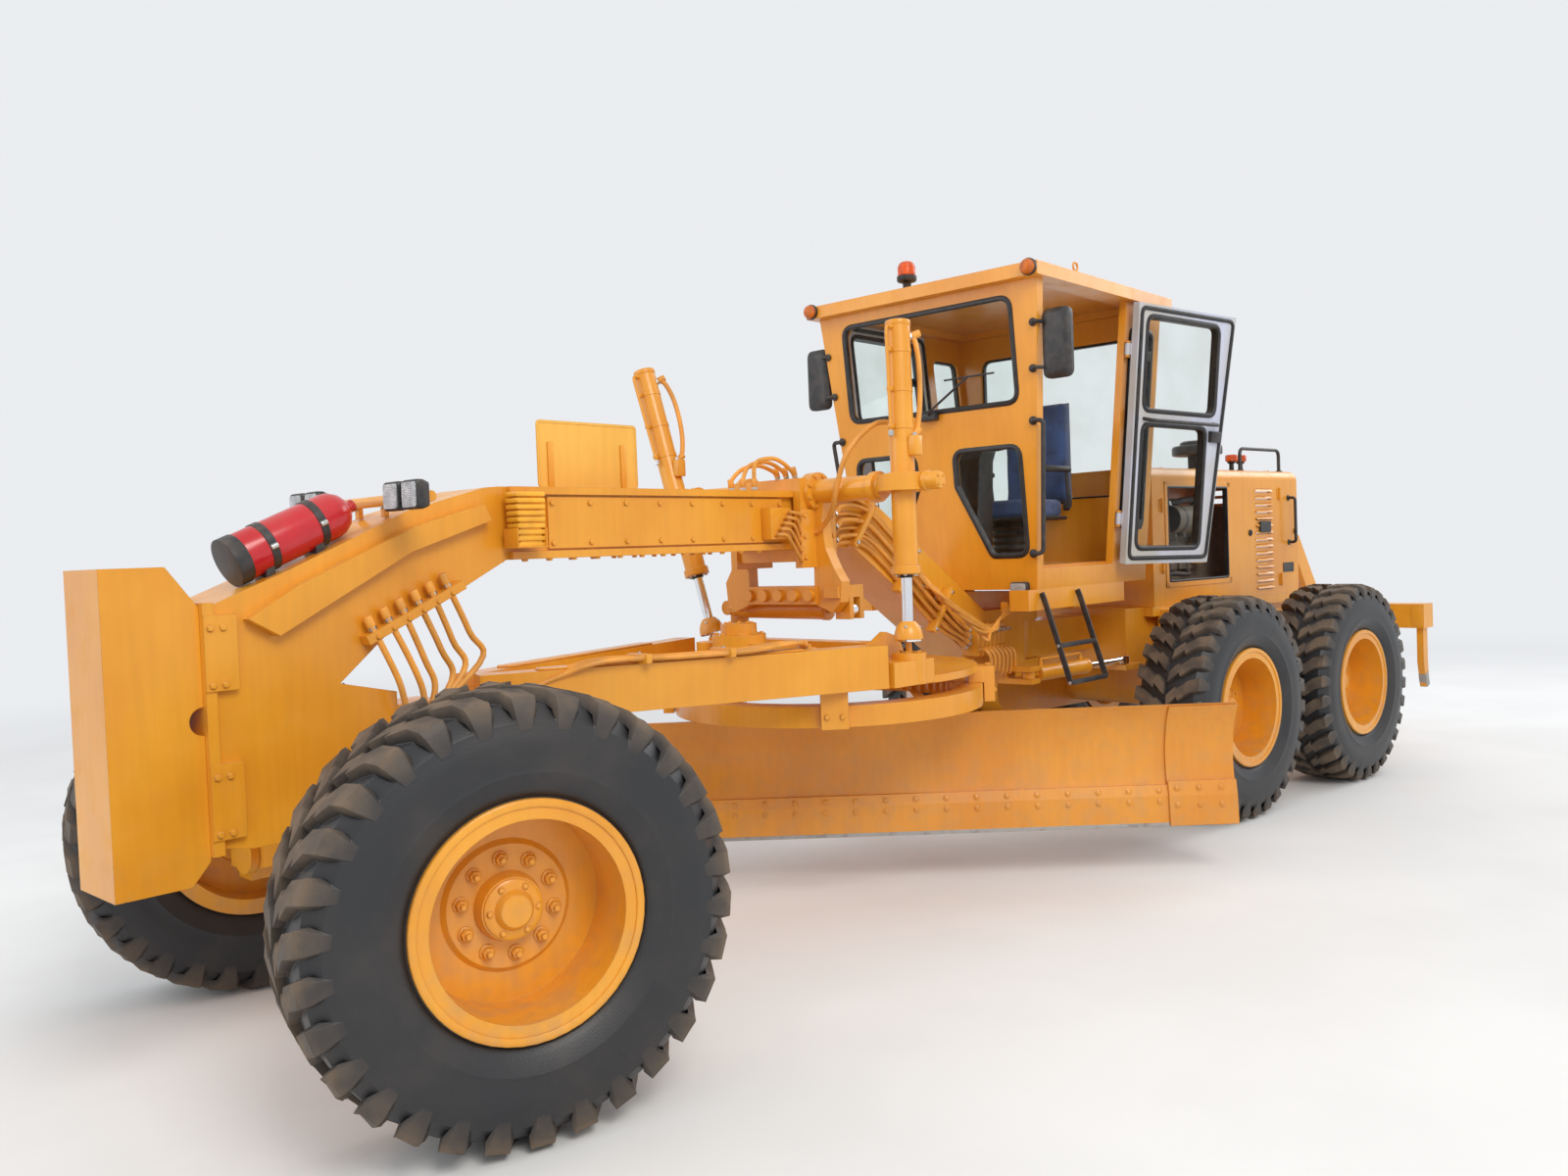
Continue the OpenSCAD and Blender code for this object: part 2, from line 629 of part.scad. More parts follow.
module blade_carrier() {
    x0 = -62;
    color(yellow) on_circle() union() {
        for (s = [-1, 1]) {
            y = s * (arm_y + 65);
            cyl_y(tip_x, y - 30, y + 30, tip_z, 55);
            difference() {
                translate([0, y, 0]) side_slab(60) polygon([[tip_x - 55, tip_z], [tip_x, tip_z - 60],
                    [x0, rails[0] - shoe - rail_h / 2],
                    [x0, rails[1] + rail_h / 2 + shoe], [x0 - rail_d - 30,
                        rails[1] + rail_h / 2 + shoe], [tip_x - 20, 600]]);
                for (z = rails) box(x0 - rail_d - run_gap, x0 + 1, y - 31, y + 31,
                    z - rail_h / 2 - run_gap, z + rail_h / 2 + run_gap);
            }
        }
        cyl_y(tip_x, -arm_y - 90, arm_y + 90, tip_z, 30);
    }
}
// Cross section of the moldboard: an arc of steel, its cutting edge and two rails on the back
arc_r = 470;
edge_top = blade_z + 202;
end_bit = 340;
module blade_arc(r_out, r_in, z0, z1) {
    z_mid = blade_z + blade_h / 2 + 30;
    intersection() {
        difference() {
            translate([arc_r - 60, z_mid]) circle(r = r_out, $fn = 96);
            translate([arc_r - 60, z_mid]) circle(r = r_in, $fn = 96);
        }
        translate([-100, z0]) square([180, z1 - z0]);
    }
}
module blade_section() {
    blade_arc(arc_r, arc_r - blade_t, blade_z + 140, blade_z + blade_h);
    polygon([[4, blade_z], [32, blade_z], [18, blade_z + 150], [2, edge_top], [-18, edge_top], [-26,
        blade_z + 150],
        [-24, blade_z + 60]]);
}
// Plate bolted over an end of the sheet and of the cutting edge
module end_section() {
    blade_arc(arc_r - blade_t + 3, arc_r - blade_t - 13, edge_top - 12, blade_z + blade_h - 8);
    polygon([[28, blade_z + 4], [46, blade_z + 4], [33, blade_z + 150], [14, edge_top + 18], [-8,
        edge_top + 18],
        [0, edge_top - 30], [12, blade_z + 150]]);
}
module moldboard() {
    color(yellow) on_blade() union() {
        rotate([90, 0, 0]) translate([0, 0, -blade_len / 2]) linear_extrude(blade_len) blade_section();
        both_sides() translate([0, blade_len / 2 - end_bit / 2, 0]) side_slab(end_bit) end_section();
        // Rails that slide in the carrier's shoes
        for (z = rails) box(-62 - rail_d, -20, -blade_len / 2 + 250, blade_len / 2 - 250,
            z - rail_h / 2, z + rail_h / 2);
    }
}

// Centre-shift cylinder: its rod's eye turns on the frame's bracket, its barrel's end is the open pivot
shift_eye = [-2430, 330, 1400];
shift_base = [-2430, -490, 1405];
shift_plate = 30;
open_gap = 37;
module centre_rod() {
    l = span(shift_eye, shift_base);
    color(chrome) on_front() difference() {
        union() {
            along(shift_eye, shift_base) {
                cylinder(h = l - 250, r = 22);
                translate([0, 0, l - 290]) cylinder(h = 40, r = 42 - run_gap);
            }
            cyl_x(shift_eye[0] - 20, shift_eye[0] + 20, shift_eye[1], shift_eye[2], 40);
        }
        cyl_x(shift_eye[0] - 30, shift_eye[0] + 30, shift_eye[1], shift_eye[2], 20 + run_gap);
    }
}
module centre_barrel() {
    l = span(shift_eye, shift_base);
    color(yellow) on_front() union() {
        along(shift_eye, shift_base) difference() {
            translate([0, 0, 130]) cylinder(h = l - 190, r = 52);
            translate([0, 0, 180]) cylinder(h = l - 290, r = 42);
            translate([0, 0, 120]) cylinder(h = 80, r = 22 + run_gap);
        }
        along(shift_eye, shift_base) translate([0, 0, l - 70]) cylinder(h = 50, r = 24);
        cyl_x(shift_base[0] - 20, shift_base[0] + 20, shift_base[1], shift_base[2], 38);
    }
}

// Cab
cab_front_x = -3570;
cab_back_x = -5050;
door_back_x = -4600;
post_d = 65;
floor_z = 1560;
function front_x(z) = cab_front_x - cab_rake * (cab_top - z) / (cab_top - cab_z);
function side_y(z) = cab_w / 2 - cab_taper * (cab_top - z) / (cab_top - cab_z);
// The cab's block, with its walls moved in by t
module cab_block(t) {
    intersection() {
        side_slab(2 * cab_w) polygon([[front_x(cab_z) - t, cab_z], [front_x(cab_top) - t, cab_top],
            [cab_back_x + t, cab_top], [cab_back_x + t, cab_z]]);
        cross_slab(cab_back_x - 10, 2000) polygon([[-side_y(cab_z) + t, cab_z], [side_y(cab_z) - t, cab_z],
            [side_y(cab_top) - t, cab_top], [-side_y(cab_top) + t, cab_top]]);
    }
}
module cab_shell() {
    difference() {
        cab_block(0);
        cab_block(wall_t);
    }
}
// Window outlines on the front wall, as corner Y, corner Z, width, height
windscreen = [175 - cab_w / 2, cab_top - 635, cab_w - 350, 560];
lower_pane = [135, cab_z + 190, side_y(cab_z + 190) - wall_t - 145, windscreen[1] - cab_z - 425];
module pane_front(grow) {
    translate([windscreen[0] + grow, windscreen[1] + grow])
        round_rect(windscreen[2] - 2 * grow, windscreen[3] - 2 * grow, 70 - grow);
    for (s = [-1, 1]) mirror([s < 0 ? 1 : 0, 0]) intersection() {
        translate([lower_pane[0] + grow, lower_pane[1] + grow])
            round_rect(lower_pane[2] - 2 * grow, lower_pane[3] - 2 * grow, 60 - grow);
        polygon([[lower_pane[0] - 50, cab_top], [lower_pane[0] - 50, lower_pane[1] + 500],
            [lower_pane[0] + 230 + grow, lower_pane[1] - 60 + grow], [cab_w, lower_pane[1] - 60],
                [cab_w, cab_top]]);
    }
}
// Window in the rear wall and the two side panes behind the doors
module panes_rear(grow) {
    cross_slab(cab_back_x - 20, 200) translate([220 - cab_w / 2 + grow, cab_z + 530 + grow])
        round_rect(cab_w - 440 - 2 * grow, cab_top - cab_z - 680 - 2 * grow, 60 - grow);
}
module panes_side(grow) {
    side_slab(2 * cab_w) translate([cab_back_x + 90 + grow, cab_z + 330 + grow])
        round_rect(door_back_x - cab_back_x - 160 - 2 * grow, cab_top - cab_z - 480 - 2 * grow, 50 - grow);
}
module cab_front() {
    color(yellow) on_front() difference() {
        intersection() {
            cab_shell();
            side_slab(2 * cab_w) polygon([[front_x(cab_z) - post_d, cab_z], [front_x(cab_top) - post_d,
                cab_top],
                [0, cab_top], [0, cab_z]]);
        }
        cross_slab(-4200, 1200) pane_front(0);
    }
}
module cab_rear() {
    color(yellow) on_front() union() {
        difference() {
            intersection() {
                cab_shell();
                box(cab_back_x - 10, door_back_x, -cab_w, cab_w, cab_z, cab_top);
            }
            panes_rear(0);
            panes_side(0);
        }
        // Pins of the door hinges, each held by a lug below and above the door's knuckle
        both_sides() for (h = hinge_at) hinge_frame(h) {
            translate([0, 0, -12]) cylinder(h = knuckle_h + 24, r = hinge_pin);
            for (z = [-12, knuckle_h + 2]) translate([0, 0, z]) {
                cylinder(h = 10, r = hinge_pin + 8);
                box(-60, 0, -hinge_out - 4, hinge_pin + 4, 0, 10);
            }
        }
    }
}
module cab_roof() {
    color(yellow) on_front() difference() {
        union() {
            box(-5120, -3500, -cab_w / 2 - 45, cab_w / 2 + 45, cab_top, cab_top + roof_t - 12);
            box(-5080, -3540, -cab_w / 2 - 5, cab_w / 2 + 5, cab_top, cab_top + roof_t);
        }
        // Hollow under the roof's sheet, inside the walls
        box(-4980, -3680, -cab_w / 2 + 110, cab_w / 2 - 110, cab_top - 1, cab_top + roof_t - 40);
    }
}
module cab_base() {
    color(yellow) on_front() union() {
        intersection() {
            cab_block(wall_t + seat_gap);
            box(cab_back_x, -3400, -cab_w, cab_w, cab_z, floor_z);
        }
        both_sides() {
            // Sills between the front and rear walls
            intersection() {
                cab_block(0);
                side_slab(2 * cab_w) polygon([[front_x(cab_z) - post_d - seat_gap, cab_z],
                    [front_x(floor_z - 15) - post_d - seat_gap, floor_z - 15], [door_back_x + seat_gap,
                        floor_z - 15],
                    [door_back_x + seat_gap, cab_z]]);
            }
            box(-4760, -3640, 480, 600, 1315, cab_z);
            // Cross member that rests on the main frame
            box(-4300, -4200, -1, 560, leg_z + seat_gap, 1400);
        }
    }
}
module cab_glass() {
    color([0.5, 0.6, 0.65]) on_front() {
        intersection() {
            cross_slab(-4200, 1200) pane_front(seat_gap);
            side_slab(2 * cab_w) polygon([[front_x(cab_z) - 20 - glass_t, cab_z], [front_x(cab_top)
                - 20 - glass_t, cab_top],
                [front_x(cab_top) - 20, cab_top], [front_x(cab_z) - 20, cab_z]]);
        }
        intersection() {
            panes_rear(seat_gap);
            box(cab_back_x + 20, cab_back_x + 20 + glass_t, -cab_w, cab_w, cab_z, cab_top);
        }
        intersection() {
            panes_side(seat_gap);
            difference() {
                cab_block(20);
                cab_block(20 + glass_t);
            }
        }
    }
}
// A door: drawn closed on the left side, with two windows and the knuckles of its hinges
hinge_out = 22;
hinge_low = [door_back_x, side_y(cab_z) + hinge_out, cab_z];
hinge_high = [door_back_x, side_y(cab_top) + hinge_out, cab_top];
hinge_axis = (hinge_high - hinge_low) / norm(hinge_high - hinge_low);
hinge_at = [350, 1350];
// Along the hinge line from its low end, with X forward
module hinge_frame(h) {
    translate(hinge_low) rotate([-atan(cab_taper / (cab_top - cab_z)), 0, 0]) translate([0, 0, h])
        children();
}
knuckle_h = 70;
hinge_pin = 7;
module door_solid() {
    difference() {
        intersection() {
            cab_shell();
            side_slab(2 * cab_w) polygon([[door_back_x + move_gap, floor_z - 15 + move_gap],
                [front_x(floor_z) - post_d - move_gap, floor_z - 15 + move_gap],
                [front_x(cab_top) - post_d - move_gap, cab_top - move_gap], [door_back_x + move_gap,
                    cab_top - move_gap]]);
            box(-6000, 0, 0, 2000, 0, 4000);
        }
        for (w = [[cab_z + 210, cab_top - cab_z - 920], [cab_top - 630, 550]]) side_slab(2 * cab_w)
            translate([door_back_x + 90, w[0]])
            round_rect(front_x(w[0]) - post_d - door_back_x - 200, w[1], 60);
    }
    for (h = hinge_at) hinge_frame(h) difference() {
        union() {
            cylinder(h = knuckle_h, r = hinge_pin + 8);
            box(0, 60, -hinge_out - 4, hinge_pin + 4, 0, knuckle_h);
        }
        translate([0, 0, -1]) cylinder(h = knuckle_h + 2, r = hinge_pin + run_gap);
    }
}
module door_left() {
    color(pale) on_front() translate(hinge_low) rotate(a = door_rest, v = hinge_axis)
        translate(-hinge_low) door_solid();
}
module door_right() color(pale) on_front() mirror([0, 1, 0]) door_solid();
module cab_interior() {
    color(black) on_front() {
        union() {
            box(-4760, -4260, -250, 250, floor_z + 280, floor_z + 400);
            box(-4880, -4740, -250, 250, floor_z + 330, floor_z + 1050);
            box(-4650, -4350, -150, 150, floor_z + seat_gap, floor_z + 290);
            both_sides() box(-4720, -4380, 255, 300, floor_z + 560, floor_z + 600);
            both_sides() box(-4720, -4660, 240, 270, floor_z + 300, floor_z + 570);
        }
        union() {
            side_slab(220) polygon([[-3880, floor_z + seat_gap], [-4080, floor_z + seat_gap], [-4120,
                floor_z + 620],
                [-4160, floor_z + 700], [-4040, floor_z + 740], [-3960, floor_z + 640]]);
            rod([-4100, 0, floor_z + 700], [-4160, 0, floor_z + 800], 24);
            along([-4160, 0, floor_z + 800], [-4170, 0, floor_z + 817]) {
                rotate_extrude() translate([190, 0]) circle(r = 15);
                for (a = [0, 120, 240]) rotate([0, 0, a]) box(0, 188, -12, 12, -7, 7);
                translate([0, 0, -12]) cylinder(h = 24, r = 42);
            }
        }
    }
}
module ladder_rails() {
    color(black) on_front() union() {
        for (x = [-3760, -4160]) rod([x, 615.4, 1410], [x, 780, 900], 16);
        for (z = [920, 1120]) rod([-3760, 615.4 + (1410 - z) * 0.321, z], [-4160, 615.4 + (1410 - z)
            * 0.321, z], 14);
    }
}
// Black trim: mirrors on their arms, the front handrails and the beacon's foot
mirror_z = 2740;
// Lower and upper end of a handrail
rail_z = [1630, 2345];
mirror_x = -3630;
module cab_trim() {
    color(black) on_front() difference() {
        both_sides() {
            box(mirror_x - 24, mirror_x + 24, mirror_y - 85, mirror_y + 85, mirror_z - 185,
                mirror_z + 185);
            for (z = [mirror_z - 120, mirror_z + 120])
                rod([front_x(z) - 30, side_y(z) - 20, z], [mirror_x, mirror_y - 70, z], 11);
            for (z = rail_z) rod([front_x(z) - 30, side_y(z) - 20, z], [front_x(z) + 10, side_y(z) + 45,
                z], 11);
            rod([front_x(rail_z[0]) + 10, side_y(rail_z[0]) + 45, rail_z[0]], [front_x(rail_z[1]) + 10,
                side_y(rail_z[1]) + 45, rail_z[1]], 13);
        }
        cab_block(-seat_gap);
    }
    color(black) on_front() translate([-4000, -400, cab_top + roof_t + seat_gap]) {
        cylinder(h = 28, r = 75);
        cylinder(h = 150, r = 26);
        translate([0, 0, 140]) cylinder(h = 46, r = 62);
    }
}
mirror_y = 826;
module cab_lamps() {
    color([0.9, 0.35, 0.05]) on_front() {
        for (s = [-1, 1]) translate([-3500 + seat_gap, s * cab_w / 2, cab_top + 40]) rotate([0, 90, 0]) {
            cylinder(h = 34, r = 46);
            cylinder(h = 50, r = 34);
        }
        translate([-4000, -400, cab_top + roof_t + 186 + 2 * seat_gap]) {
            cylinder(h = 60, r = 55);
            translate([0, 0, 55]) cylinder(h = 34, r = 42);
        }
    }
}
// Air intake, two lamps and a rail on the hood
module hood_trim() {
    top = hood_top + seat_gap;
    color(black) on_rear() {
        translate([-6450, 150, top]) union() {
            cylinder(h = 130, r = 70);
            translate([0, 0, 120]) cylinder(h = 70, r = 175);
            translate([0, 0, 180]) cylinder(h = 50, r = 120);
        }
        for (x = [-6790, -6920]) translate([x, 230, top]) {
            cylinder(h = 90, r = 32);
            translate([0, 0, 80]) cylinder(h = 50, r = 44);
        }
        union() {
            for (x = [-6660, -7240]) translate([x, 365, top]) cylinder(h = 160, r = 10);
            rod([-6645, 365, top + 160], [-7255, 365, top + 160], 13);
        }
    }
}
module extinguisher() {
    color([0.75, 0.05, 0.06]) on_front() rod([435, 60, 1720], [0, 60, 1905], 85);
}
module beam_fittings() {
    color(yellow) on_front() union() {
        box(-1420, -880, -30, -24, beam_top + 10, beam_top + 290);
        for (x = [-1350, -960]) box(x, x + 30, -24, 0, beam_top + seat_gap, beam_top + 200);
        box(-700, -560, frame_w / 2 + 25 + seat_gap, frame_w / 2 + 120, 1740, 1960);
        // Work lamps on a bar across the gooseneck
        rod([-110, -420, 1925], [-110, 420, 1925], 20);
        for (y = [-90, 90]) box(-130, -112, y - 15, y + 15, 1867.7 + seat_gap, 1930);
        for (y = [-400, -280, 280, 400]) box(-92, -30, y - 50, y + 50, 1880, 1980);
    }
}
module hydraulic_lines() {
    color(yellow) on_front() union() {
        box(-2150, -2000, frame_w / 2 + cover_t + seat_gap, frame_w / 2 + 80, 1745, 1900);
    }
}

// Rear body
deck_z = hood_z - seat_gap;
// Place and radius of the tow pin's hole
tow_x = -7740;
tow_r = 26;
module rear_frame() {
    color(yellow) on_rear() union() {
        difference() {
            union() {
                translate([-hitch_back, 0, hitch_z + 92]) cylinder(h = leg_z - hitch_z - 184, r = 110);
                box(-5150, -4500, -110, 110, hitch_z + 100, leg_z - 100);
            }
            translate([-hitch_back, 0, 600]) cylinder(h = 900, r = hitch_r + run_gap);
        }
        box(-7660, -5120, -380, 380, 850, deck_z);
        box(-7400, -5330, -hood_w / 2, hood_w / 2, deck_z - 60, deck_z);
        // Ledge boxes beside the engine and steps behind them
        both_sides() box(-6050, -5420, hood_w / 2 - 20, 560, deck_z - 190, deck_z - 20);
        // Eye for a tow pin
        difference() {
            union() {
                box(-7740, -7650, -70, 70, 865, 905);
                translate([tow_x, 0, 865]) cylinder(h = 40, r = 70);
            }
            translate([tow_x, 0, 860]) cylinder(h = 50, r = tow_r);
        }
        // Plates under the articulation cylinders' open ends
        both_sides() box(-5200, artic_eye[0] + 45, 330, artic_eye[1] + 45, artic_eye[2] - 64,
            artic_eye[2] - 30);
        cyl_y(-wheelbase, -560, 560, tyre_r, 150);
        box(-wheelbase - 150, -wheelbase + 150, -560, 560, tyre_r, 860);
        // Pins and plates of the ripper
        both_sides() {
            cyl_y(ripper_pivot[0], ripper_arm_y - 60, ripper_arm_y + 70, ripper_pivot[2], ripper_pin);
            box(ripper_pivot[0] - 60, -7650, ripper_arm_y - 45, ripper_arm_y - 1, 850, 960);
        }
        for (y = [-46, 21]) box(ripper_base[0] - 40, -7650, y, y + 25, ripper_base[2] - 60,
            ripper_base[2] + 40);
        cyl_y(ripper_base[0], -46, 46, ripper_base[2], 22);
    }
}
module tandems() {
    color(yellow) on_rear() both_sides() {
        intersection() {
            box(rear_x - 190, mid_x + 190, 560 + seat_gap, 770, 400, 1000);
            union() {
                for (x = [mid_x, rear_x]) cyl_y(x, 560, 770, tyre_r, 180);
                box(rear_x, mid_x, 560, 770, tyre_r - 180, tyre_r + 180);
            }
        }
        for (x = [mid_x, rear_x]) cyl_y(x, 760, hub_in - seat_gap, tyre_r, 85);
    }
}
hood_x0 = -7340;
hood_x1 = -5350;
module hood_profile(t) {
    w = hood_w / 2 - t;
    r = 70 - t;
    union() {
        translate([-w, hood_z]) square([2 * w, hood_top - t - hood_z - r]);
        translate([-w + r, hood_z]) square([2 * w - 2 * r, hood_top - t - hood_z]);
        for (s = [-1, 1]) translate([s * (w - r), hood_top - t - r]) circle(r = r, $fn = 32);
    }
}
module hood() {
    color(yellow) on_rear() difference() {
        cross_slab(hood_x0, hood_x1 - hood_x0) hood_profile(0);
        translate([0, 0, -1]) cross_slab(hood_x0 + hood_t, hood_x1 - hood_x0 - 2 * hood_t)
            hood_profile(hood_t);
        // Open bays and grilles in both sides
        side_slab(2 * hood_w) translate([-6300, 1400]) square([760, 620]);
        for (i = [0:14]) box(-6940, -6710, -hood_w, hood_w, 1290 + i * 50, 1290 + i * 50 + 25);
        // Radiator's opening at the back, with bars left across it
        for (i = [0:11]) box(hood_x0 - 1, hood_x0 + 40, -330, 330, 1320 + i * 62, 1320 + i * 62 + 38);
    }
}
module engine() {
    color([0.35, 0.32, 0.28]) on_rear() {
        union() {
            box(-7000, -5500, -240, 200, hood_z, 1900);
            cyl_x(-6150, -5760, 320, 1810, 95);
            for (x = [-6080, -5850]) box(x, x + 30, 190, 250, 1700, 1860);
        }
    }
}
// Articulation cylinders, from a pin on the front frame to the rear frame's plate, the open pivot
artic_base = [-3950, 400, 930];
artic_eye = [-5010, 430, 930];
artic_pin = 20;
function to_rear(p) = [
    -hitch_back + (p[0] + hitch_back) * cos(artic_rest) + p[1] * sin(artic_rest),
    -(p[0] + hitch_back) * sin(artic_rest) + p[1] * cos(artic_rest), p[2]];
module artic_barrel(s) {
    p = [artic_base[0], s * artic_base[1], artic_base[2]];
    q = to_rear([artic_eye[0], s * artic_eye[1], artic_eye[2]]);
    color(yellow) on_front() difference() {
        union() {
            along(p, q) translate([0, 0, 75]) cylinder(h = 515, r = 45);
            translate(p - [0, 0, 20]) cylinder(h = 40, r = 38);
            along(p, q) translate([0, 0, 28]) cylinder(h = 60, r = 17);
        }
        along(p, q) {
            translate([0, 0, 100]) cylinder(h = 460, r = 36);
            translate([0, 0, 540]) cylinder(h = 80, r = 20 + run_gap);
        }
        translate(p - [0, 0, 30]) cylinder(h = 60, r = artic_pin + run_gap);
    }
}
module artic_rod(s) {
    p = [artic_base[0], s * artic_base[1], artic_base[2]];
    q = to_rear([artic_eye[0], s * artic_eye[1], artic_eye[2]]);
    l = span(p, q);
    color(chrome) on_front() union() {
        along(p, q) {
            translate([0, 0, 300]) cylinder(h = l - 310, r = 20);
            translate([0, 0, 300]) cylinder(h = 40, r = 36 - run_gap);
        }
        translate(q - [0, 0, 24]) cylinder(h = 48, r = 36);
    }
}
module artic_barrel_left() artic_barrel(1);
module artic_barrel_right() artic_barrel(-1);
module artic_rod_left() artic_rod(1);
module artic_rod_right() artic_rod(-1);

// Ripper: two arms on the rear frame's pins, a beam with its shanks, and a mast for the cylinder
ripper_pivot = [-7760, 0, 900];
ripper_x = -8500;
ripper_arm_y = 300;
ripper_pin = 30;
ripper_base = [-7720, 0, 1170];
ripper_top = [-8100, 0, 1620];
mast_t = 40;
module ripper() {
    color(yellow) on_rear() union() {
        both_sides() difference() {
            union() {
                box(-8420, ripper_pivot[0], ripper_arm_y, ripper_arm_y + 50, 850, 950);
                cyl_y(ripper_pivot[0], ripper_arm_y, ripper_arm_y + 50, ripper_pivot[2], 70);
            }
            cyl_y(ripper_pivot[0], ripper_arm_y - 1, ripper_arm_y + 51, ripper_pivot[2],
                ripper_pin + run_gap);
        }
        box(ripper_x - 90, ripper_x + 90, -ripper_half, ripper_half, 900, 1090);
        for (i = [-2:2]) translate([ripper_x, i * 440, 0]) side_slab(50)
            polygon([[-40, 900], [40, 900], [40, 620],
            [-10, 430], [-60, 450], [-40, 640]]);
        // The mast's plates stand on both sides of the open end of the cylinder's rod
        for (y = [-27 - mast_t, 27]) translate([0, y + mast_t / 2, 0]) side_slab(mast_t)
            polygon([[ripper_x + 80, 1000],
            [ripper_top[0] + 50, ripper_top[2] - 50], [ripper_top[0] + 40, ripper_top[2] + 40],
            [ripper_top[0] - 50, ripper_top[2] + 50], [ripper_x - 60, 1080]]);
    }
}
module ripper_barrel() {
    l = span(ripper_base, ripper_top);
    color(yellow) on_rear() difference() {
        union() {
            along(ripper_base, ripper_top) translate([0, 0, 80]) cylinder(h = 360, r = 50);
            along(ripper_base, ripper_top) translate([0, 0, 30]) cylinder(h = 70, r = 17);
            cyl_y(ripper_base[0], -20, 20, ripper_base[2], 42);
        }
        along(ripper_base, ripper_top) {
            translate([0, 0, 110]) cylinder(h = 290, r = 40);
            translate([0, 0, 390]) cylinder(h = 80, r = 25 + run_gap);
        }
        cyl_y(ripper_base[0], -30, 30, ripper_base[2], 22 + run_gap);
    }
}
module ripper_rod() {
    l = span(ripper_base, ripper_top);
    color(chrome) on_rear() union() {
        along(ripper_base, ripper_top) {
            translate([0, 0, 160]) cylinder(h = l - 160, r = 25);
            translate([0, 0, 160]) cylinder(h = 40, r = 40 - run_gap);
        }
        cyl_y(ripper_top[0], -20, 20, ripper_top[2], 38);
    }
}

main_frame();
push_block();
front_axle();
lift_saddle();
extinguisher();
beam_fittings();
hydraulic_lines();
cab_base();
cab_front();
cab_rear();
cab_roof();
cab_glass();
cab_interior();
cab_trim();
cab_lamps();
hood_trim();
ladder_rails();
lean_left();
lean_right();
knuckle_left();
knuckle_right();
lean_bar();
tie_rod_ball();
tie_rod();
tyre_front_left();
tyre_front_right();
rim_front_left();
rim_front_right();
tyre_mid_left();
tyre_mid_right();
rim_mid_left();
rim_mid_right();
tyre_rear_left();
tyre_rear_right();
rim_rear_left();
rim_rear_right();
drawbar();
turn_circle();
blade_carrier();
moldboard();
lift_barrel_left();
lift_barrel_right();
lift_rod_left();
lift_rod_right();
centre_barrel();
centre_rod();
rear_frame();
tandems();
hood();
engine();
artic_barrel_left();
artic_barrel_right();
artic_rod_left();
artic_rod_right();
ripper();
ripper_barrel();
ripper_rod();
door_left();
door_right();
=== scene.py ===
"""Looks of the motor grader: paints, treads, trim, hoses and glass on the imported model."""
import json
import random
from math import cos, exp, pi, radians, sin, sqrt, tan

import bmesh
import bpy
from bpy.props import FloatProperty, FloatVectorProperty, IntProperty, PointerProperty
from mathutils import Matrix, Vector


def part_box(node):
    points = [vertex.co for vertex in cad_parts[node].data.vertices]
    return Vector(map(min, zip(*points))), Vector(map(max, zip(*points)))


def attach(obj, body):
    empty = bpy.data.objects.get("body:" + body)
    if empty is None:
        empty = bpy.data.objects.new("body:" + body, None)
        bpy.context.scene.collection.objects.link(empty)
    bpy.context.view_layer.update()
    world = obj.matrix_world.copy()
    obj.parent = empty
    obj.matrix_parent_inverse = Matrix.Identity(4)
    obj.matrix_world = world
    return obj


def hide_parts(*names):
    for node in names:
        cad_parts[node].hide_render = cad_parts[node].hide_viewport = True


bl_info = {
    "name": "Motor Grader Looks",
    "version": (1, 0, 0),
    "blender": (4, 5, 0),
    "location": "View3D > Sidebar > Grader",
    "description": "Paints and trims the packed motor grader",
    "category": "Object",
}

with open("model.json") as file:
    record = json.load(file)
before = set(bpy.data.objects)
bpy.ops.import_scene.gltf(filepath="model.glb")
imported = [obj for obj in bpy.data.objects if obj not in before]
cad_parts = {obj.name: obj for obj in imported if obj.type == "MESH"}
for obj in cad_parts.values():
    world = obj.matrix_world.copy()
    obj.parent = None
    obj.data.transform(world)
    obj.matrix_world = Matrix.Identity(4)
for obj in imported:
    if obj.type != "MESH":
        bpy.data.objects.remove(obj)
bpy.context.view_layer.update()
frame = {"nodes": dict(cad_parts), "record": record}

# Places that the whole machine is measured from: X forward, Y left, Z up, from the front axle
AXLE = sum((Vector(corner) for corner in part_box("front_axle")), Vector()) / 2
AXLE.z = 0
STEER_REST, ARTIC_REST, YAW_REST, CIRCLE_REST, DOOR_REST = (radians(a) for a in (16, 6.5, 3.1, 44.5, 168))
HITCH = Vector((-4.5, 0, 0))
BALL = Vector((-0.29, 0, 1.1))
CIRCLE_X = -2.5
SHIFT_REST = 0.19
TRACK, TYRE_R, TYRE_W = 2.03, 0.665, 0.445
KINGPIN_Y = 0.8
MID_X, REAR_X = -5.157, -6.679
# The lift cylinders' pivots, the circle's motor, the roof's top, and the hood's top, side and tail lamps
LIFT_X, LIFT_Z, DRIVE_X = -2.33, 1.985, -1.906
ROOF_Z, HOOD_Z, HOOD_Y, BACK_X = 3.1724, 2.1503, 0.4502, -7.352
# Farthest that the cloth moves a cushion's surface, and the steps in a round bend
SWELL = 0.014
BEND_STEPS = 5
X, Y, Z = Vector((1, 0, 0)), Vector((0, 1, 0)), Vector((0, 0, 1))
SIDES = ((1, "left"), (-1, "right"))


def turned_about(point, angle):
    """Turn about the vertical through a point."""
    return Matrix.Translation(point) @ Matrix.Rotation(angle, 4, "Z") @ Matrix.Translation(-point)


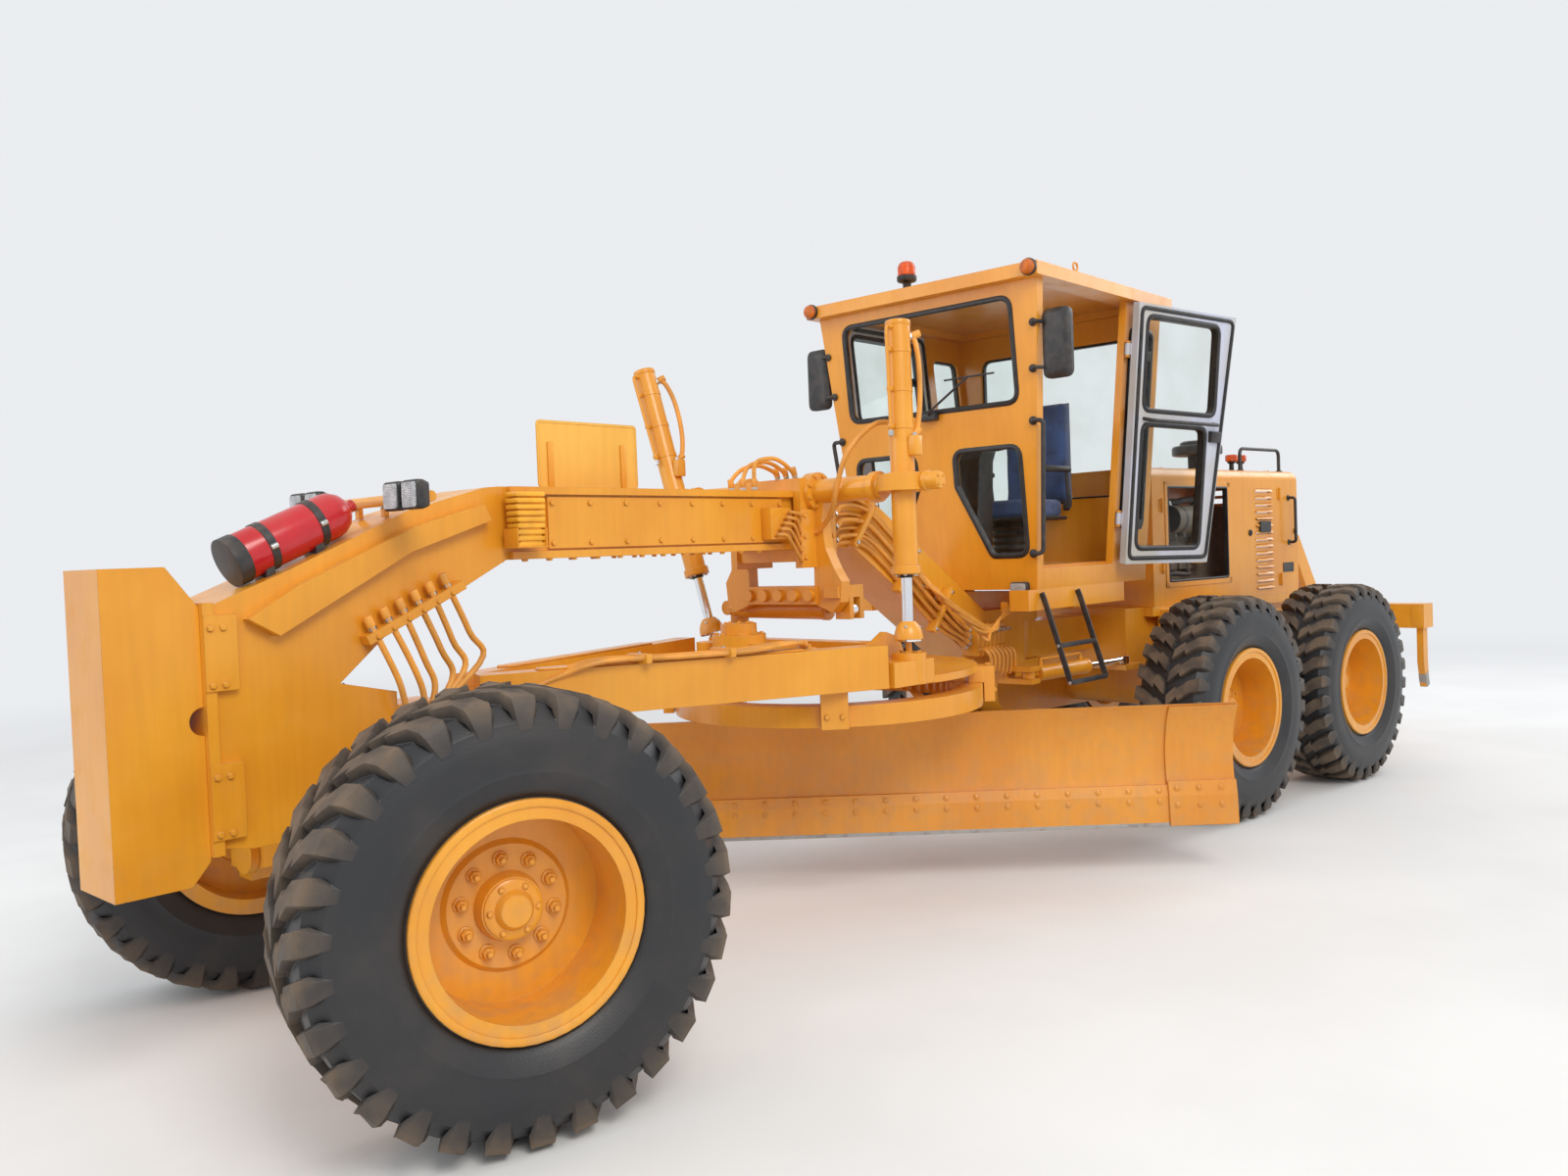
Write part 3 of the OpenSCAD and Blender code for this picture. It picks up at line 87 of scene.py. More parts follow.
FRONT = Matrix.Translation(AXLE)
REAR = FRONT @ turned_about(HITCH, -ARTIC_REST)
DRAWBAR = FRONT @ turned_about(BALL, -YAW_REST)
CIRCLE = DRAWBAR @ Matrix.Translation((CIRCLE_X, 0, 0)) @ Matrix.Rotation(CIRCLE_REST, 4, "Z")
BLADE = CIRCLE @ Matrix.Translation((0, SHIFT_REST, 0))


def wheel_places():
    """The middle of each tyre, with its axle along Y."""
    places = {}
    for row, x in (("front", 0), ("mid", MID_X), ("rear", REAR_X)):
        for hand, label in SIDES:
            steered = FRONT @ turned_about(Vector((0, KINGPIN_Y * hand, 0)), -STEER_REST)
            base = steered if row == "front" else REAR
            places[row + "_" + label] = base @ Matrix.Translation((x, TRACK / 2 * hand, TYRE_R))
    return places


WHEELS = wheel_places()
BODY_OF = {node: body for body, nodes in frame["record"]["behaviour"]["bodies"].items() for node in nodes}


def colour_setting(name, description, default):
    """A colour that the panel shows."""
    return FloatVectorProperty(name=name, description=description, subtype="COLOR", size=3, min=0, max=1,
                               default=default)


def length_setting(name, description, low, high, default):
    """A length that the panel shows."""
    return FloatProperty(name=name, description=description, subtype="DISTANCE", unit="LENGTH", min=low, max=high,
                         default=default)


class GraderFinish(bpy.types.PropertyGroup):
    """Colours and surface qualities of the machine."""

    frame_paint: colour_setting("Frame paint", "Enamel on the frame, axles and blade gear", (0.8, 0.315, 0.016))
    cab_paint: colour_setting("Cab paint", "Enamel on the cab and the hood", (0.8, 0.3, 0.014))
    door_paint: colour_setting("Door paint", "Bare metal look of the open door's frame", (0.56, 0.53, 0.47))
    rubber: colour_setting("Tyre rubber", "Colour of the tyres without their dust", (0.018, 0.019, 0.022))
    dust: colour_setting("Dust", "Dry soil that lies on the treads and ledges", (0.36, 0.25, 0.16))
    seat_cloth: colour_setting("Seat cloth", "Colour of the seat's cover", (0.03, 0.06, 0.16))
    edge_round: length_setting("Edge rounding", "Radius to which the paint rounds plate edges", 0, 0.02, 0.004)


class GraderSizes(bpy.types.PropertyGroup):
    """Sizes and counts of the trim."""

    lugs: IntProperty(name="Lugs", description="Lugs round one side of a tyre", min=12, max=48, default=30)
    lug_height: length_setting("Lug height", "Depth of the tread", 0.01, 0.05, 0.034)
    hose_radius: length_setting("Hose radius", "Radius of a main hydraulic hose", 0.005, 0.03, 0.0125)
    wheel_bolts: IntProperty(name="Wheel bolts", description="Nuts that hold a wheel", min=6, max=16, default=10)


def finish():
    """Colours of the machine."""
    return bpy.context.scene.grader_finish


def sizes():
    """Sizes of the trim."""
    return bpy.context.scene.grader_sizes


# Shader building blocks


def feed(tree, node, inputs):
    """Sets a node's inputs, each to a value or to a socket that it is linked from."""
    for key, value in inputs.items():
        if isinstance(value, bpy.types.NodeSocket):
            tree.links.new(value, node.inputs[key])
        else:
            node.inputs[key].default_value = value


def add(tree, kind, inputs=None, **facts):
    """A node with its settings and inputs."""
    node = tree.nodes.new(kind)
    for key, value in facts.items():
        setattr(node, key, value)
    feed(tree, node, inputs or {})
    return node


def rgba(colour, gain=1.0):
    """A colour with alpha, made lighter or darker."""
    return tuple(min(1.0, c * gain) for c in colour[:3]) + (1.0,)


class ShaderTree:
    """A shader tree under construction, whose helpers give sockets."""

    def __init__(self, tree):
        self.tree = tree
        tree.nodes.clear()

    def add(self, kind, inputs=None, **facts):
        """A shader node with its settings and inputs."""
        return add(self.tree, "ShaderNode" + kind, inputs, **facts)

    def maths(self, what, a, b):
        """A sum on two values."""
        return self.add("Math", {0: a, 1: b}, operation=what).outputs[0]

    def times(self, first, *others):
        """The product of two or more values."""
        for other in others:
            first = self.maths("MULTIPLY", first, other)
        return first

    def ramp(self, value, low, high, start=0.0, end=1.0):
        """A value's range mapped to another, smoothly."""
        return self.add("MapRange", {"Value": value, "From Min": low, "From Max": high, "To Min": start, "To Max": end},
                        interpolation_type="SMOOTHSTEP").outputs[0]

    def mix(self, amount, a, b):
        """Colour a with b over it."""
        return self.add("Mix", {0: amount, 6: a, 7: b}, data_type="RGBA").outputs[2]

    def seen_directly(self):
        """1 for rays that show the backdrop: straight, in a reflection or through glass."""
        path = self.add("LightPath").outputs
        return self.maths("MAXIMUM", path["Is Camera Ray"],
                          self.maths("MAXIMUM", path["Is Glossy Ray"], path["Is Transmission Ray"]))


class Paintwork(ShaderTree):
    """A material under construction: a principled shader fed from object coordinates."""

    def __init__(self, name):
        self.material = bpy.data.materials.new(name)
        self.material.use_nodes = True
        super().__init__(self.material.node_tree)
        self.shader = self.add("BsdfPrincipled")
        self.end = self.add("OutputMaterial", {"Surface": self.shader.outputs[0]})
        self.where = self.add("TexCoord").outputs["Object"]

    def spots(self, scale, detail=3.0, low=0.35, high=0.65, stretch=None):
        """Noise between 0 and 1, sharpened between low and high."""
        where = self.where
        if stretch:
            where = self.add("Mapping", {"Vector": where, "Scale": stretch}).outputs[0]
        noise = self.add("TexNoise", {"Vector": where, "Scale": scale, "Detail": detail})
        return self.ramp(noise.outputs["Fac"], low, high)

    def rounded(self, radius, height, strength, depth):
        """Surface direction with rounded edges, under a bump and without it."""
        soft = self.add("Bevel", {"Radius": radius}, samples=4).outputs[0]
        return self.bump(height, strength, depth, Normal=soft), soft

    def bump(self, height, strength, depth, **others):
        """Surface direction raised by a height."""
        return self.add("Bump", {"Height": height, "Strength": strength, "Distance": depth, **others}).outputs[0]

    def upward(self):
        """How much a surface looks up, 0 to 1, and its geometry."""
        geometry = self.add("NewGeometry")
        split = self.add("SeparateXYZ", {0: geometry.outputs["Normal"]})
        return self.ramp(split.outputs[2], 0.35, 0.95), geometry

    def done(self, colour, rough, **others):
        """The material with its shader's inputs set; an underscore in a name stands for a space."""
        feed(self.tree, self.shader, {"Base Color": colour, "Roughness": rough})
        feed(self.tree, self.shader, {key.replace("_", " "): value for key, value in others.items()})
        return self.material


def enamel(name, colour, dust_amount=0.2, wear=0.22, rough=0.32):
    """Sprayed machine paint: sun-faded, dusty on top, chipped along its edges."""
    p = Paintwork(name)
    up, geometry = p.upward()
    normal, soft = p.rounded(finish().edge_round, p.spots(260, 2, 0.2, 0.8), 0.12, 0.0004)
    faded = rgba((colour[0], colour[1] * 1.1, colour[2] * 1.5), 1.03)
    tint = p.mix(p.spots(1.6, 3), rgba(colour, 0.93), faded)
    tint = p.mix(p.times(p.spots(5, 4, 0.3, 0.75, (7, 7, 0.55)), 0.13), tint, rgba(colour, 0.55))
    patches = p.spots(9, 5, 0.42, 0.72)
    lying = p.times(up, patches, dust_amount)
    tint = p.mix(lying, tint, rgba(finish().dust, 1.25))
    height = p.add("SeparateXYZ", {0: p.where}).outputs[2]
    splash = p.times(p.ramp(height, 1.15, 0.25), p.spots(13, 5, 0.4, 0.7), dust_amount)
    tint = p.mix(splash, tint, rgba(finish().dust))
    meet = p.add("VectorMath", {0: soft, 1: geometry.outputs["True Normal"]}, operation="DOT_PRODUCT")
    edge = p.ramp(meet.outputs["Value"], 0.985, 0.86)
    tint = p.mix(p.times(edge, p.spots(55, 4, 0.5, 0.6), wear), tint, (0.1, 0.055, 0.03, 1))
    dull = p.maths("ADD", p.times(lying, 0.4), p.ramp(patches, 0, 1, rough, rough + 0.12))
    return p.done(tint, dull, Normal=normal, Coat_Weight=0.25, Coat_Roughness=0.18)


def tyre_rubber():
    """Black rubber, brown with soil where the tread meets the ground."""
    p = Paintwork("tyre_rubber")
    tread = p.add("Attribute", attribute_name="tread").outputs["Fac"]
    patches = p.times(p.spots(11, 6, 0.34, 0.66), 0.6)
    soil = p.times(tread, p.maths("ADD", patches, 0.35))
    haze = p.times(p.spots(4, 5, 0.4, 0.75), 0.12)
    soil = p.times(p.maths("ADD", soil, haze), 0.62)
    scuffs = p.times(p.spots(30, 4, 0.4, 0.6), tread)
    normal, _ = p.rounded(0.004, p.maths("ADD", p.spots(190, 3, 0.2, 0.8), scuffs), 0.3, 0.0012)
    tint = p.mix(soil, rgba(finish().rubber), rgba(finish().dust, 0.72))
    return p.done(tint, p.ramp(soil, 0, 0.6, 0.42, 0.85), Normal=normal)


def metal(name, colour, rough, stain, brushed=None):
    """Bare metal with fine scratches and stains."""
    p = Paintwork(name)
    marks = p.spots(45, 5, 0.3, 0.7, brushed)
    dirty = p.times(p.spots(17, 5, 0.5, 0.75), stain)
    normal, _ = p.rounded(0.0015, marks, 0.1, 0.0003)
    return p.done(p.mix(dirty, rgba(colour), (0.09, 0.06, 0.04, 1)), p.ramp(marks, 0, 1, rough * 0.75, rough * 1.5),
                  Metallic=p.ramp(dirty, 0, 1, 1, 0.25), Normal=normal)


def moulded(name, colour, rough, grain, dusty, deep=0.0004):
    """Moulded plastic, hose cover or seal rubber, with a fine grain and some dust."""
    p = Paintwork(name)
    up, _ = p.upward()
    film = p.times(p.spots(21, 5, 0.35, 0.7), p.ramp(up, 0, 1, dusty * 0.35, dusty))
    shade = p.mix(p.spots(6, 3), rgba(colour, 0.85), rgba(colour, 1.2))
    normal, _ = p.rounded(0.002, p.spots(grain, 2, 0.2, 0.8), 0.25, deep)
    return p.done(p.mix(film, shade, rgba(finish().dust, 1.1)), p.ramp(film, 0, 0.5, rough, min(1, rough + 0.25)),
                  Normal=normal)


def window_glass():
    """Slightly green safety glass with a film of dust."""
    p = Paintwork("window_glass")
    film = p.spots(3.5, 5, 0.3, 0.8)
    return p.done(p.mix(film, (0.9, 0.95, 0.93, 1), (0.82, 0.86, 0.83, 1)), p.ramp(film, 0, 1, 0.02, 0.09),
                  Transmission_Weight=1.0, IOR=1.1)


def lens(name, colour, clear):
    """Ribbed lamp glass."""
    p = Paintwork(name)
    ribs = p.add("TexWave", {"Vector": p.where, "Scale": 55, "Distortion": 0.4}, bands_direction="Z").outputs["Fac"]
    return p.done(p.mix(p.spots(30, 3), rgba(colour, 0.8), rgba(colour, 1.15)), p.ramp(ribs, 0, 1, 0.08, 0.2),
                  Normal=p.bump(ribs, 0.35, 0.002), Transmission_Weight=clear)


def woven(name, colour):
    """Seat cloth: a fine weave with worn patches."""
    p = Paintwork(name)
    across, along = (p.add("TexWave", {"Vector": p.where, "Scale": 160}, bands_direction=way).outputs["Fac"]
                     for way in "YX")
    weave = p.maths("MAXIMUM", across, along)
    worn = p.spots(7, 4)
    tint = p.mix(worn, rgba(colour, 0.8), rgba(colour, 1.7))
    return p.done(p.mix(p.times(weave, 0.3), tint, rgba(colour, 0.35)), p.ramp(worn, 0, 1, 0.7, 0.9),
                  Normal=p.bump(weave, 0.4, 0.001), Sheen_Weight=0.3)


PALETTE = {}


def look(name):
    """A material of the machine, made once."""
    if name not in PALETTE:
        paints = finish()
        PALETTE[name] = {
            "frame": lambda: enamel("frame_enamel", paints.frame_paint),
            "cab": lambda: enamel("cab_enamel", paints.cab_paint, 0.2, 0.12, 0.28),
            "rim": lambda: enamel("rim_enamel", paints.frame_paint, 0.3, 0.3, 0.33),
            "blade": lambda: enamel("blade_enamel", (0.75, 0.275, 0.017), 0.2, 0.45, 0.32),
            "door": lambda: enamel("door_metal", paints.door_paint, 0.2, 0.2, 0.42),
            "tyre": tyre_rubber,
            "chrome": lambda: metal("chromed_rod", (0.82, 0.83, 0.85), 0.1, 0.1),
            "zinc": lambda: metal("zinc_plate", (0.6, 0.6, 0.58), 0.32, 0.35),
            "steel": lambda: metal("worn_steel", (0.42, 0.4, 0.38), 0.4, 0.5, (1, 1, 6)),
            "iron": lambda: moulded("engine_iron", (0.16, 0.13, 0.1), 0.6, 90, 0.35, 0.002),
            "seal": lambda: moulded("window_seal", (0.012, 0.012, 0.013), 0.42, 200, 0.12),
            "black": lambda: moulded("black_plastic", (0.02, 0.02, 0.022), 0.42, 260, 0.22),
            "hose": lambda: moulded("painted_hose", (0.72, 0.3, 0.035), 0.45, 180, 0.25, 0.0008),
            "black_hose": lambda: moulded("hose_rubber", (0.016, 0.016, 0.017), 0.5, 180, 0.3, 0.0008),
            "amber": lambda: lens("amber_lens", (0.9, 0.2, 0.01), 0.35),
            "orange": lambda: lens("beacon_lens", (0.9, 0.12, 0.01), 0.3),
            "clear": lambda: lens("clear_lens", (0.75, 0.78, 0.8), 0.5),
            "mirror": lambda: metal("mirror_glass", (0.75, 0.78, 0.8), 0.05, 0.15),
            "red": lambda: enamel("red_enamel", (0.55, 0.012, 0.014), 0.08, 0.15, 0.2),
            "lamp_red": lambda: lens("red_lens", (0.6, 0.01, 0.01), 0.3),
            "red_plastic": lambda: moulded("red_plastic", (0.5, 0.02, 0.015), 0.35, 200, 0.1),
            "sign": lambda: enamel("sign_enamel", (0.86, 0.42, 0.045), 0.1, 0.1, 0.3),
            "chock": lambda: moulded("chock_plastic", (0.86, 0.4, 0.02), 0.4, 150, 0.15),
            "glass": window_glass,
            "cloth": lambda: woven("seat_cloth", paints.seat_cloth),
            "dark": lambda: moulded("dark_inside", (0.03, 0.028, 0.026), 0.7, 60, 0.3, 0.002),
        }[name]()
    return PALETTE[name]


def turns(count, phase=0.0):
    """Angles spread evenly round a circle."""
    return [2 * pi * (i + phase) / count for i in range(count)]


def stand(name, data):
    """A new object for some data, in the scene."""
    thing = bpy.data.objects.new(name, data)
    bpy.context.scene.collection.objects.link(thing)
    return thing


class Shape:
    """A mesh under construction: parts are added in a local frame, each with its finish."""

    def __init__(self, place=None):
        self.mesh = bmesh.new()
        self.place = place or Matrix()
        self.names = []
        self.tread = self.mesh.verts.layers.float.new("tread")

    def _slot(self, name):
        if name not in self.names:
            self.names.append(name)
        return self.names.index(name)

    def _face(self, corners, slot, smooth=True):
        try:
            face = self.mesh.faces.new(corners)
        except ValueError:
            return None
        face.material_index = slot
        face.smooth = smooth
        return face

    def _skin(self, a, b, slot, smooth=True):
        """Faces between two closed rings."""
        for i in range(len(a)):
            j = (i + 1) % len(a)
            self._face((a[i], a[j], b[j], b[i]), slot, smooth)

    def loft(self, rings, name, caps=True, smooth=True):
        """Skin through rings of equal length."""
        slot = self._slot(name)
        rows = [[self.mesh.verts.new(p) for p in ring] for ring in rings]
        for a, b in zip(rows, rows[1:]):
            self._skin(a, b, slot, smooth)
        if caps:
            self._face(list(reversed(rows[0])), slot, False)
            self._face(rows[-1], slot, False)

    def block(self, low, high, name, soft=0.004, turn=Matrix()):
        """A box with rounded edges, placed by a matrix."""
        slot = self._slot(name)
        made = bmesh.ops.create_cube(self.mesh, size=1.0)["verts"]
        centre = [(a + b) / 2 for a, b in zip(low, high)]
        size = [abs(b - a) for a, b in zip(low, high)]
        for v in made:
            v.co = Vector(c + s * k for c, s, k in zip(centre, size, v.co))
        edges = {e for v in made for f in v.link_faces for e in f.edges}
        done = bmesh.ops.bevel(self.mesh, geom=list(edges), offset=min(soft, min(size) * 0.45),
                               segments=2, affect="EDGES", profile=0.5)
        self._settle({f for v in done["verts"] for f in v.link_faces}, turn, slot)

    def _settle(self, faces, place, slot):
        """Moves new faces to their place and gives them their finish."""
        for v in {v for f in faces for v in f.verts}:
            v.co = place @ v.co
        for f in faces:
            f.material_index = slot
            f.smooth = True

    def plate(self, outline, place, thick, name, soft=0.003):
        """A flat outline in a place's XY plane, given a thickness along its Z."""
        slot = self._slot(name)
        low = [self.mesh.verts.new((x, y, 0)) for x, y in outline]
        high = [self.mesh.verts.new((x, y, thick)) for x, y in outline]
        faces = [self._face(list(reversed(low)), slot), self._face(high, slot)]
        for i in range(len(low)):
            j = (i + 1) % len(low)
            faces.append(self._face((low[i], low[j], high[j], high[i]), slot))
        bmesh.ops.recalc_face_normals(self.mesh, faces=faces)
        edges = [e for e in {e for f in faces for e in f.edges} if e.is_manifold and e.calc_face_angle(0) > 0.5]
        done = bmesh.ops.bevel(self.mesh, geom=edges, offset=min(soft, thick * 0.4), segments=2,
                               affect="EDGES", profile=0.5)
        faces = {f for f in faces if f.is_valid} | {f for v in done["verts"] for f in v.link_faces}
        self._settle(faces, place, slot)

    def lathe(self, profile, at, axis, name, steps=32, caps=True, smooth=True):
        """A profile of radius and height turned about an axis."""
        at, axis = Vector(at), Vector(axis).normalized()
        side = axis.orthogonal().normalized()
        other = axis.cross(side)
        rings = [[at + axis * height + (side * cos(a) + other * sin(a)) * radius for a in turns(steps)]
                 for radius, height in profile]
        self.loft(rings, name, caps, smooth)

    def hexagon(self, profile, at, axis, name):
        """A six-sided profile of radius and height with flat sides."""
        self.lathe(profile, at, axis, name, 6, smooth=False)

    def collar(self, inner, outer, width, at, axis, name, steps=32, ease=0.002):
        """A band with eased edges round a cylinder."""
        self.lathe([(inner, 0), (outer, ease), (outer, width - ease), (inner, width)], at, axis, name, steps)

    def screw_ring(self, centre, across, along, radius, angles, axis, size, name):
        """Hexagon bolts round a centre."""
        for a in angles:
            self.hex_bolt(centre + (across * cos(a) + along * sin(a)) * radius, axis, size, name)

    def tube(self, path, radius, name, sides=10):
        """A round bar or hose along a path."""
        path = [Vector(p) for p in path]
        heading = (path[1] - path[0]).normalized()
        side = heading.orthogonal().normalized()
        rings = []
        for i, point in enumerate(path):
            ahead = path[min(i + 1, len(path) - 1)] - path[max(i - 1, 0)]
            ahead.normalize()
            side = (side - ahead * side.dot(ahead)).normalized()
            other = ahead.cross(side)
            rings.append([point + (side * cos(a) + other * sin(a)) * radius for a in turns(sides)])
        self.loft(rings, name)

    def bent(self, points, bend_radius, radius, name, sides=10):
        """A round bar or pipe with round bends."""
        self.tube(bent_path(points, bend_radius), radius, name, sides)

    def curved(self, points, steps, radius, name, sides=10):
        """A round bar or hose along a curve."""
        self.tube(smooth_path(points, steps), radius, name, sides)

    def band(self, path, normal, section, name):
        """A section swept round a closed flat path; its points are outwards and along the normal."""
        normal = Vector(normal).normalized()
        slot = self._slot(name)
        middle_point = sum(path, Vector()) / len(path)
        area = sum(((a - middle_point).cross(b - middle_point) for a, b in zip(path, path[1:] + path[:1])), Vector())
        hand = 1 if area.dot(normal) > 0 else -1
        rows = []
        for i, point in enumerate(path):
            before = (point - path[i - 1]).normalized()
            after = (path[(i + 1) % len(path)] - point).normalized()
            out = (before + after).normalized().cross(normal) * hand
            grow = 1 / max(0.6, sqrt(max(0, (1 + before.dot(after)) / 2)))
            rows.append([self.mesh.verts.new(point + out * (u * grow) + normal * v) for u, v in section])
        for a, b in zip(rows, rows[1:] + rows[:1]):
            self._skin(a, b, slot)

    def sheet(self, path, thick, name):
        """A flat pane with the outline of a path, thickened along a vector."""
        slot = self._slot(name)
        low = [self.mesh.verts.new(p) for p in path]
        high = [self.mesh.verts.new(p + thick) for p in path]
        self._face(list(reversed(low)), slot, False)
        self._face(high, slot, False)
        self._skin(low, high, slot, False)

    def panel(self, along, at, rect, radius, thick, name):
        """A thin plate with rounded corners on the plane where X (0) or Y (1) has a value."""
        path = [Vector((at, a, b) if along == 0 else (a, at, b)) for a, b in rounded_rect(*rect, radius)]
        self.sheet(path, Vector((thick, 0, 0) if along == 0 else (0, thick, 0)), name)

    def shell(self, x, rect, radius, steps, name):
        """A housing with rounded corners: an upright rectangle grown at steps forward from a place on X."""
        left, foot, w, h = rect
        rings = []
        for dx, grow in steps:
            ring = rounded_rect(left - grow, foot - grow, w + 2 * grow, h + 2 * grow, radius)
            rings.append([Vector((x + dx, a, b)) for a, b in ring])
        self.loft(rings, name)

    def hex_bolt(self, at, axis, size, name):
        """A hexagon head on its washer."""
        self.lathe([(size * 1.15, 0), (size * 1.15, size * 0.16), (size * 0.9, size * 0.2)], at, axis, name, 16)
        self.hexagon([(size, size * 0.18), (size, size * 0.72), (size * 0.8, size * 0.86)], at, axis, name)

    def done(self, name, body, replaces=(), sharp=35):
        """The finished piece, riding on its body."""
        self.mesh.transform(self.place)
        bmesh.ops.recalc_face_normals(self.mesh, faces=list(self.mesh.faces))
        data = bpy.data.meshes.new(name)
        self.mesh.to_mesh(data)
        self.mesh.free()
        for label in self.names:
            data.materials.append(look(label))
        data.set_sharp_from_angle(angle=radians(sharp))
        piece = stand(name, data)
        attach(piece, body)
        if replaces:
            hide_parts(*replaces)


def smooth_path(points, steps):
    """A curve through the points, as a list of places."""
    points = [Vector(p) for p in points]
    ends = [points[0] * 2 - points[1]] + points + [points[-1] * 2 - points[-2]]
    path = []
    for a, b, c, d in zip(ends, ends[1:], ends[2:], ends[3:]):
        for i in range(steps):
            t = i / steps
            path.append(0.5 * ((2 * b) + (c - a) * t + (2 * a - 5 * b + 4 * c - d) * t * t
                               + (3 * b - a - 3 * c + d) * t * t * t))
    path.append(points[-1])
    return path


def bend(a, b, c, cut):
    """A round bend at b on the way from a to c, beginning and ending some way from it."""
    p, q = b + (a - b).normalized() * cut, b + (c - b).normalized() * cut
    return [p * (1 - t) ** 2 + b * 2 * t * (1 - t) + q * t * t for t in (k / BEND_STEPS for k in range(BEND_STEPS + 1))]


def bent_path(points, radius):
    """Straight runs joined by round bends."""
    points = [Vector(p) for p in points]
    path = [points[0]]
    for a, b, c in zip(points, points[1:], points[2:]):
        path += bend(a, b, c, min(radius, (a - b).length * 0.45, (c - b).length * 0.45))
    return path + [points[-1]]


def eased(radius, height, top_radius, top):
    """A disc's profile: straight up to a height, then in to its smaller top."""
    return [(radius, 0), (radius, height), (top_radius, top)]


# Places of the cab's walls, before any turn


def front_x(z):
    """Outer face of the windscreen wall."""
    return -3.57 - 0.165 * (3.09 - z) / 1.66


def side_y(z):
    """Outer face of a side wall."""
    return 0.75 - 0.15 * (3.09 - z) / 1.66


HINGE_LOW, HINGE_HIGH = Vector((-4.6, side_y(1.43) + 0.022, 1.43)), Vector((-4.6, side_y(3.09) + 0.022, 3.09))
MIRROR = Matrix.Diagonal((1, -1, 1, 1))
DOOR_LEFT = (FRONT @ Matrix.Translation(HINGE_LOW) @ Matrix.Rotation(DOOR_REST, 4, HINGE_HIGH - HINGE_LOW)
             @ Matrix.Translation(-HINGE_LOW))
DOOR_RIGHT = FRONT @ MIRROR
FRONT_OUT = Vector((1, 0, -0.165 / 1.66)).normalized()
SIDE_OUT = Vector((0, 1, -0.15 / 1.66)).normalized()


def round_corners(corners, radius=0.06):
    """A flat outline with each corner rounded."""
    path = []
    for i, corner in enumerate(corners):
        r = corner[2] if len(corner) > 2 else radius
        b = Vector(corner[:2])
        a, c = Vector(corners[i - 1][:2]), Vector(corners[(i + 1) % len(corners)][:2])
        cut = r / tan((a - b).angle(c - b) / 2)
        path += bend(a, b, c, min(cut, (a - b).length * 0.48, (c - b).length * 0.48))
    return path


def frame_corners(x, y, w, h):
    """Corners of an upright rectangle."""
    return [(x, y), (x + w, y), (x + w, y + h), (x, y + h)]


def rounded_rect(x, y, w, h, radius=0.06):
    """An upright rectangle with rounded corners."""
    return round_corners(frame_corners(x, y, w, h), radius)


LOWER_PANE = [(0.335, 1.62, 0.04), (0.5622, 1.62), (0.5622, 2.22), (0.135, 2.22), (0.135, 2.02, 0.04)]
FRONT_PANES = [frame_corners(-0.575, 2.455, 1.15, 0.56), LOWER_PANE,
               [(-c[0],) + tuple(c[1:]) for c in reversed(LOWER_PANE)]]
DOOR_PANES = [frame_corners(-4.51, 1.64, 0.621, 0.74), frame_corners(-4.51, 2.46, 0.7024, 0.55)]
SEAL = [(-0.012, -0.024), (-0.014, 0.002), (-0.006, 0.0085), (0.006, 0.0085), (0.015, 0.003), (0.015, -0.002),
        (0.001, -0.002), (0.001, -0.024)]


# Geometry Nodes for what repeats


def repeat_tree():
    """Sets one part on every point, along the point's own direction, realised and with its finish."""
    if "part_on_points" in bpy.data.node_groups:
        return bpy.data.node_groups["part_on_points"]
    tree = bpy.data.node_groups.new("part_on_points", "GeometryNodeTree")
    for label, way, kind in (("Geometry", "INPUT", "Geometry"), ("Part", "INPUT", "Object"),
                             ("Finish", "INPUT", "Material"), ("Geometry", "OUTPUT", "Geometry")):
        tree.interface.new_socket(label, in_out=way, socket_type="NodeSocket" + kind)
    given = tree.nodes.new("NodeGroupInput").outputs
    part = add(tree, "GeometryNodeObjectInfo", {"Object": given["Part"]})
    axis, ahead = (add(tree, "GeometryNodeInputNamedAttribute", {"Name": label}, data_type="FLOAT_VECTOR").outputs[0]
                   for label in ("axis", "ahead"))
    turn = add(tree, "FunctionNodeAxesToRotation", {0: axis, 1: ahead}, primary_axis="Z", secondary_axis="X")
    placed = add(tree, "GeometryNodeInstanceOnPoints", {
        "Points": given[0], "Instance": part.outputs["Geometry"], "Rotation": turn.outputs[0]})
    real = add(tree, "GeometryNodeRealizeInstances", {0: placed.outputs[0]})
    dressed = add(tree, "GeometryNodeSetMaterial", {"Geometry": real.outputs[0], "Material": given["Finish"]})
    add(tree, "NodeGroupOutput", {0: dressed.outputs[0]})
    return tree


def repeat(name, body, part, places, finish_name):
    """One part set at every place, each a point, its axis and its forward direction, as a plain mesh."""
    data = bpy.data.meshes.new(name + "_points")
    data.from_pydata([tuple(p[0]) for p in places], [], [])
    for label, index in (("axis", 1), ("ahead", 2)):
        attribute = data.attributes.new(label, "FLOAT_VECTOR", "POINT")
        attribute.data.foreach_set("vector", [c for p in places for c in p[index]])
    holder = stand(name + "_points", data)
    modifier = holder.modifiers.new("repeat", "NODES")
    modifier.node_group = repeat_tree()
    ids = {item.name: item.identifier for item in modifier.node_group.interface.items_tree if item.in_out == "INPUT"}
    modifier[ids["Part"]] = part
    modifier[ids["Finish"]] = look(finish_name)
    bpy.context.view_layer.update()
    graph = bpy.context.evaluated_depsgraph_get()
    mesh = bpy.data.meshes.new_from_object(holder.evaluated_get(graph))
    mesh.name = name
    bpy.data.objects.remove(holder)
    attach(stand(name, mesh), body)


def upright(y):
    """Stands a plate's plane up across Y."""
    return Matrix(((1, 0, 0, 0), (0, 0, 1, y), (0, 1, 0, 0), (0, 0, 0, 1)))


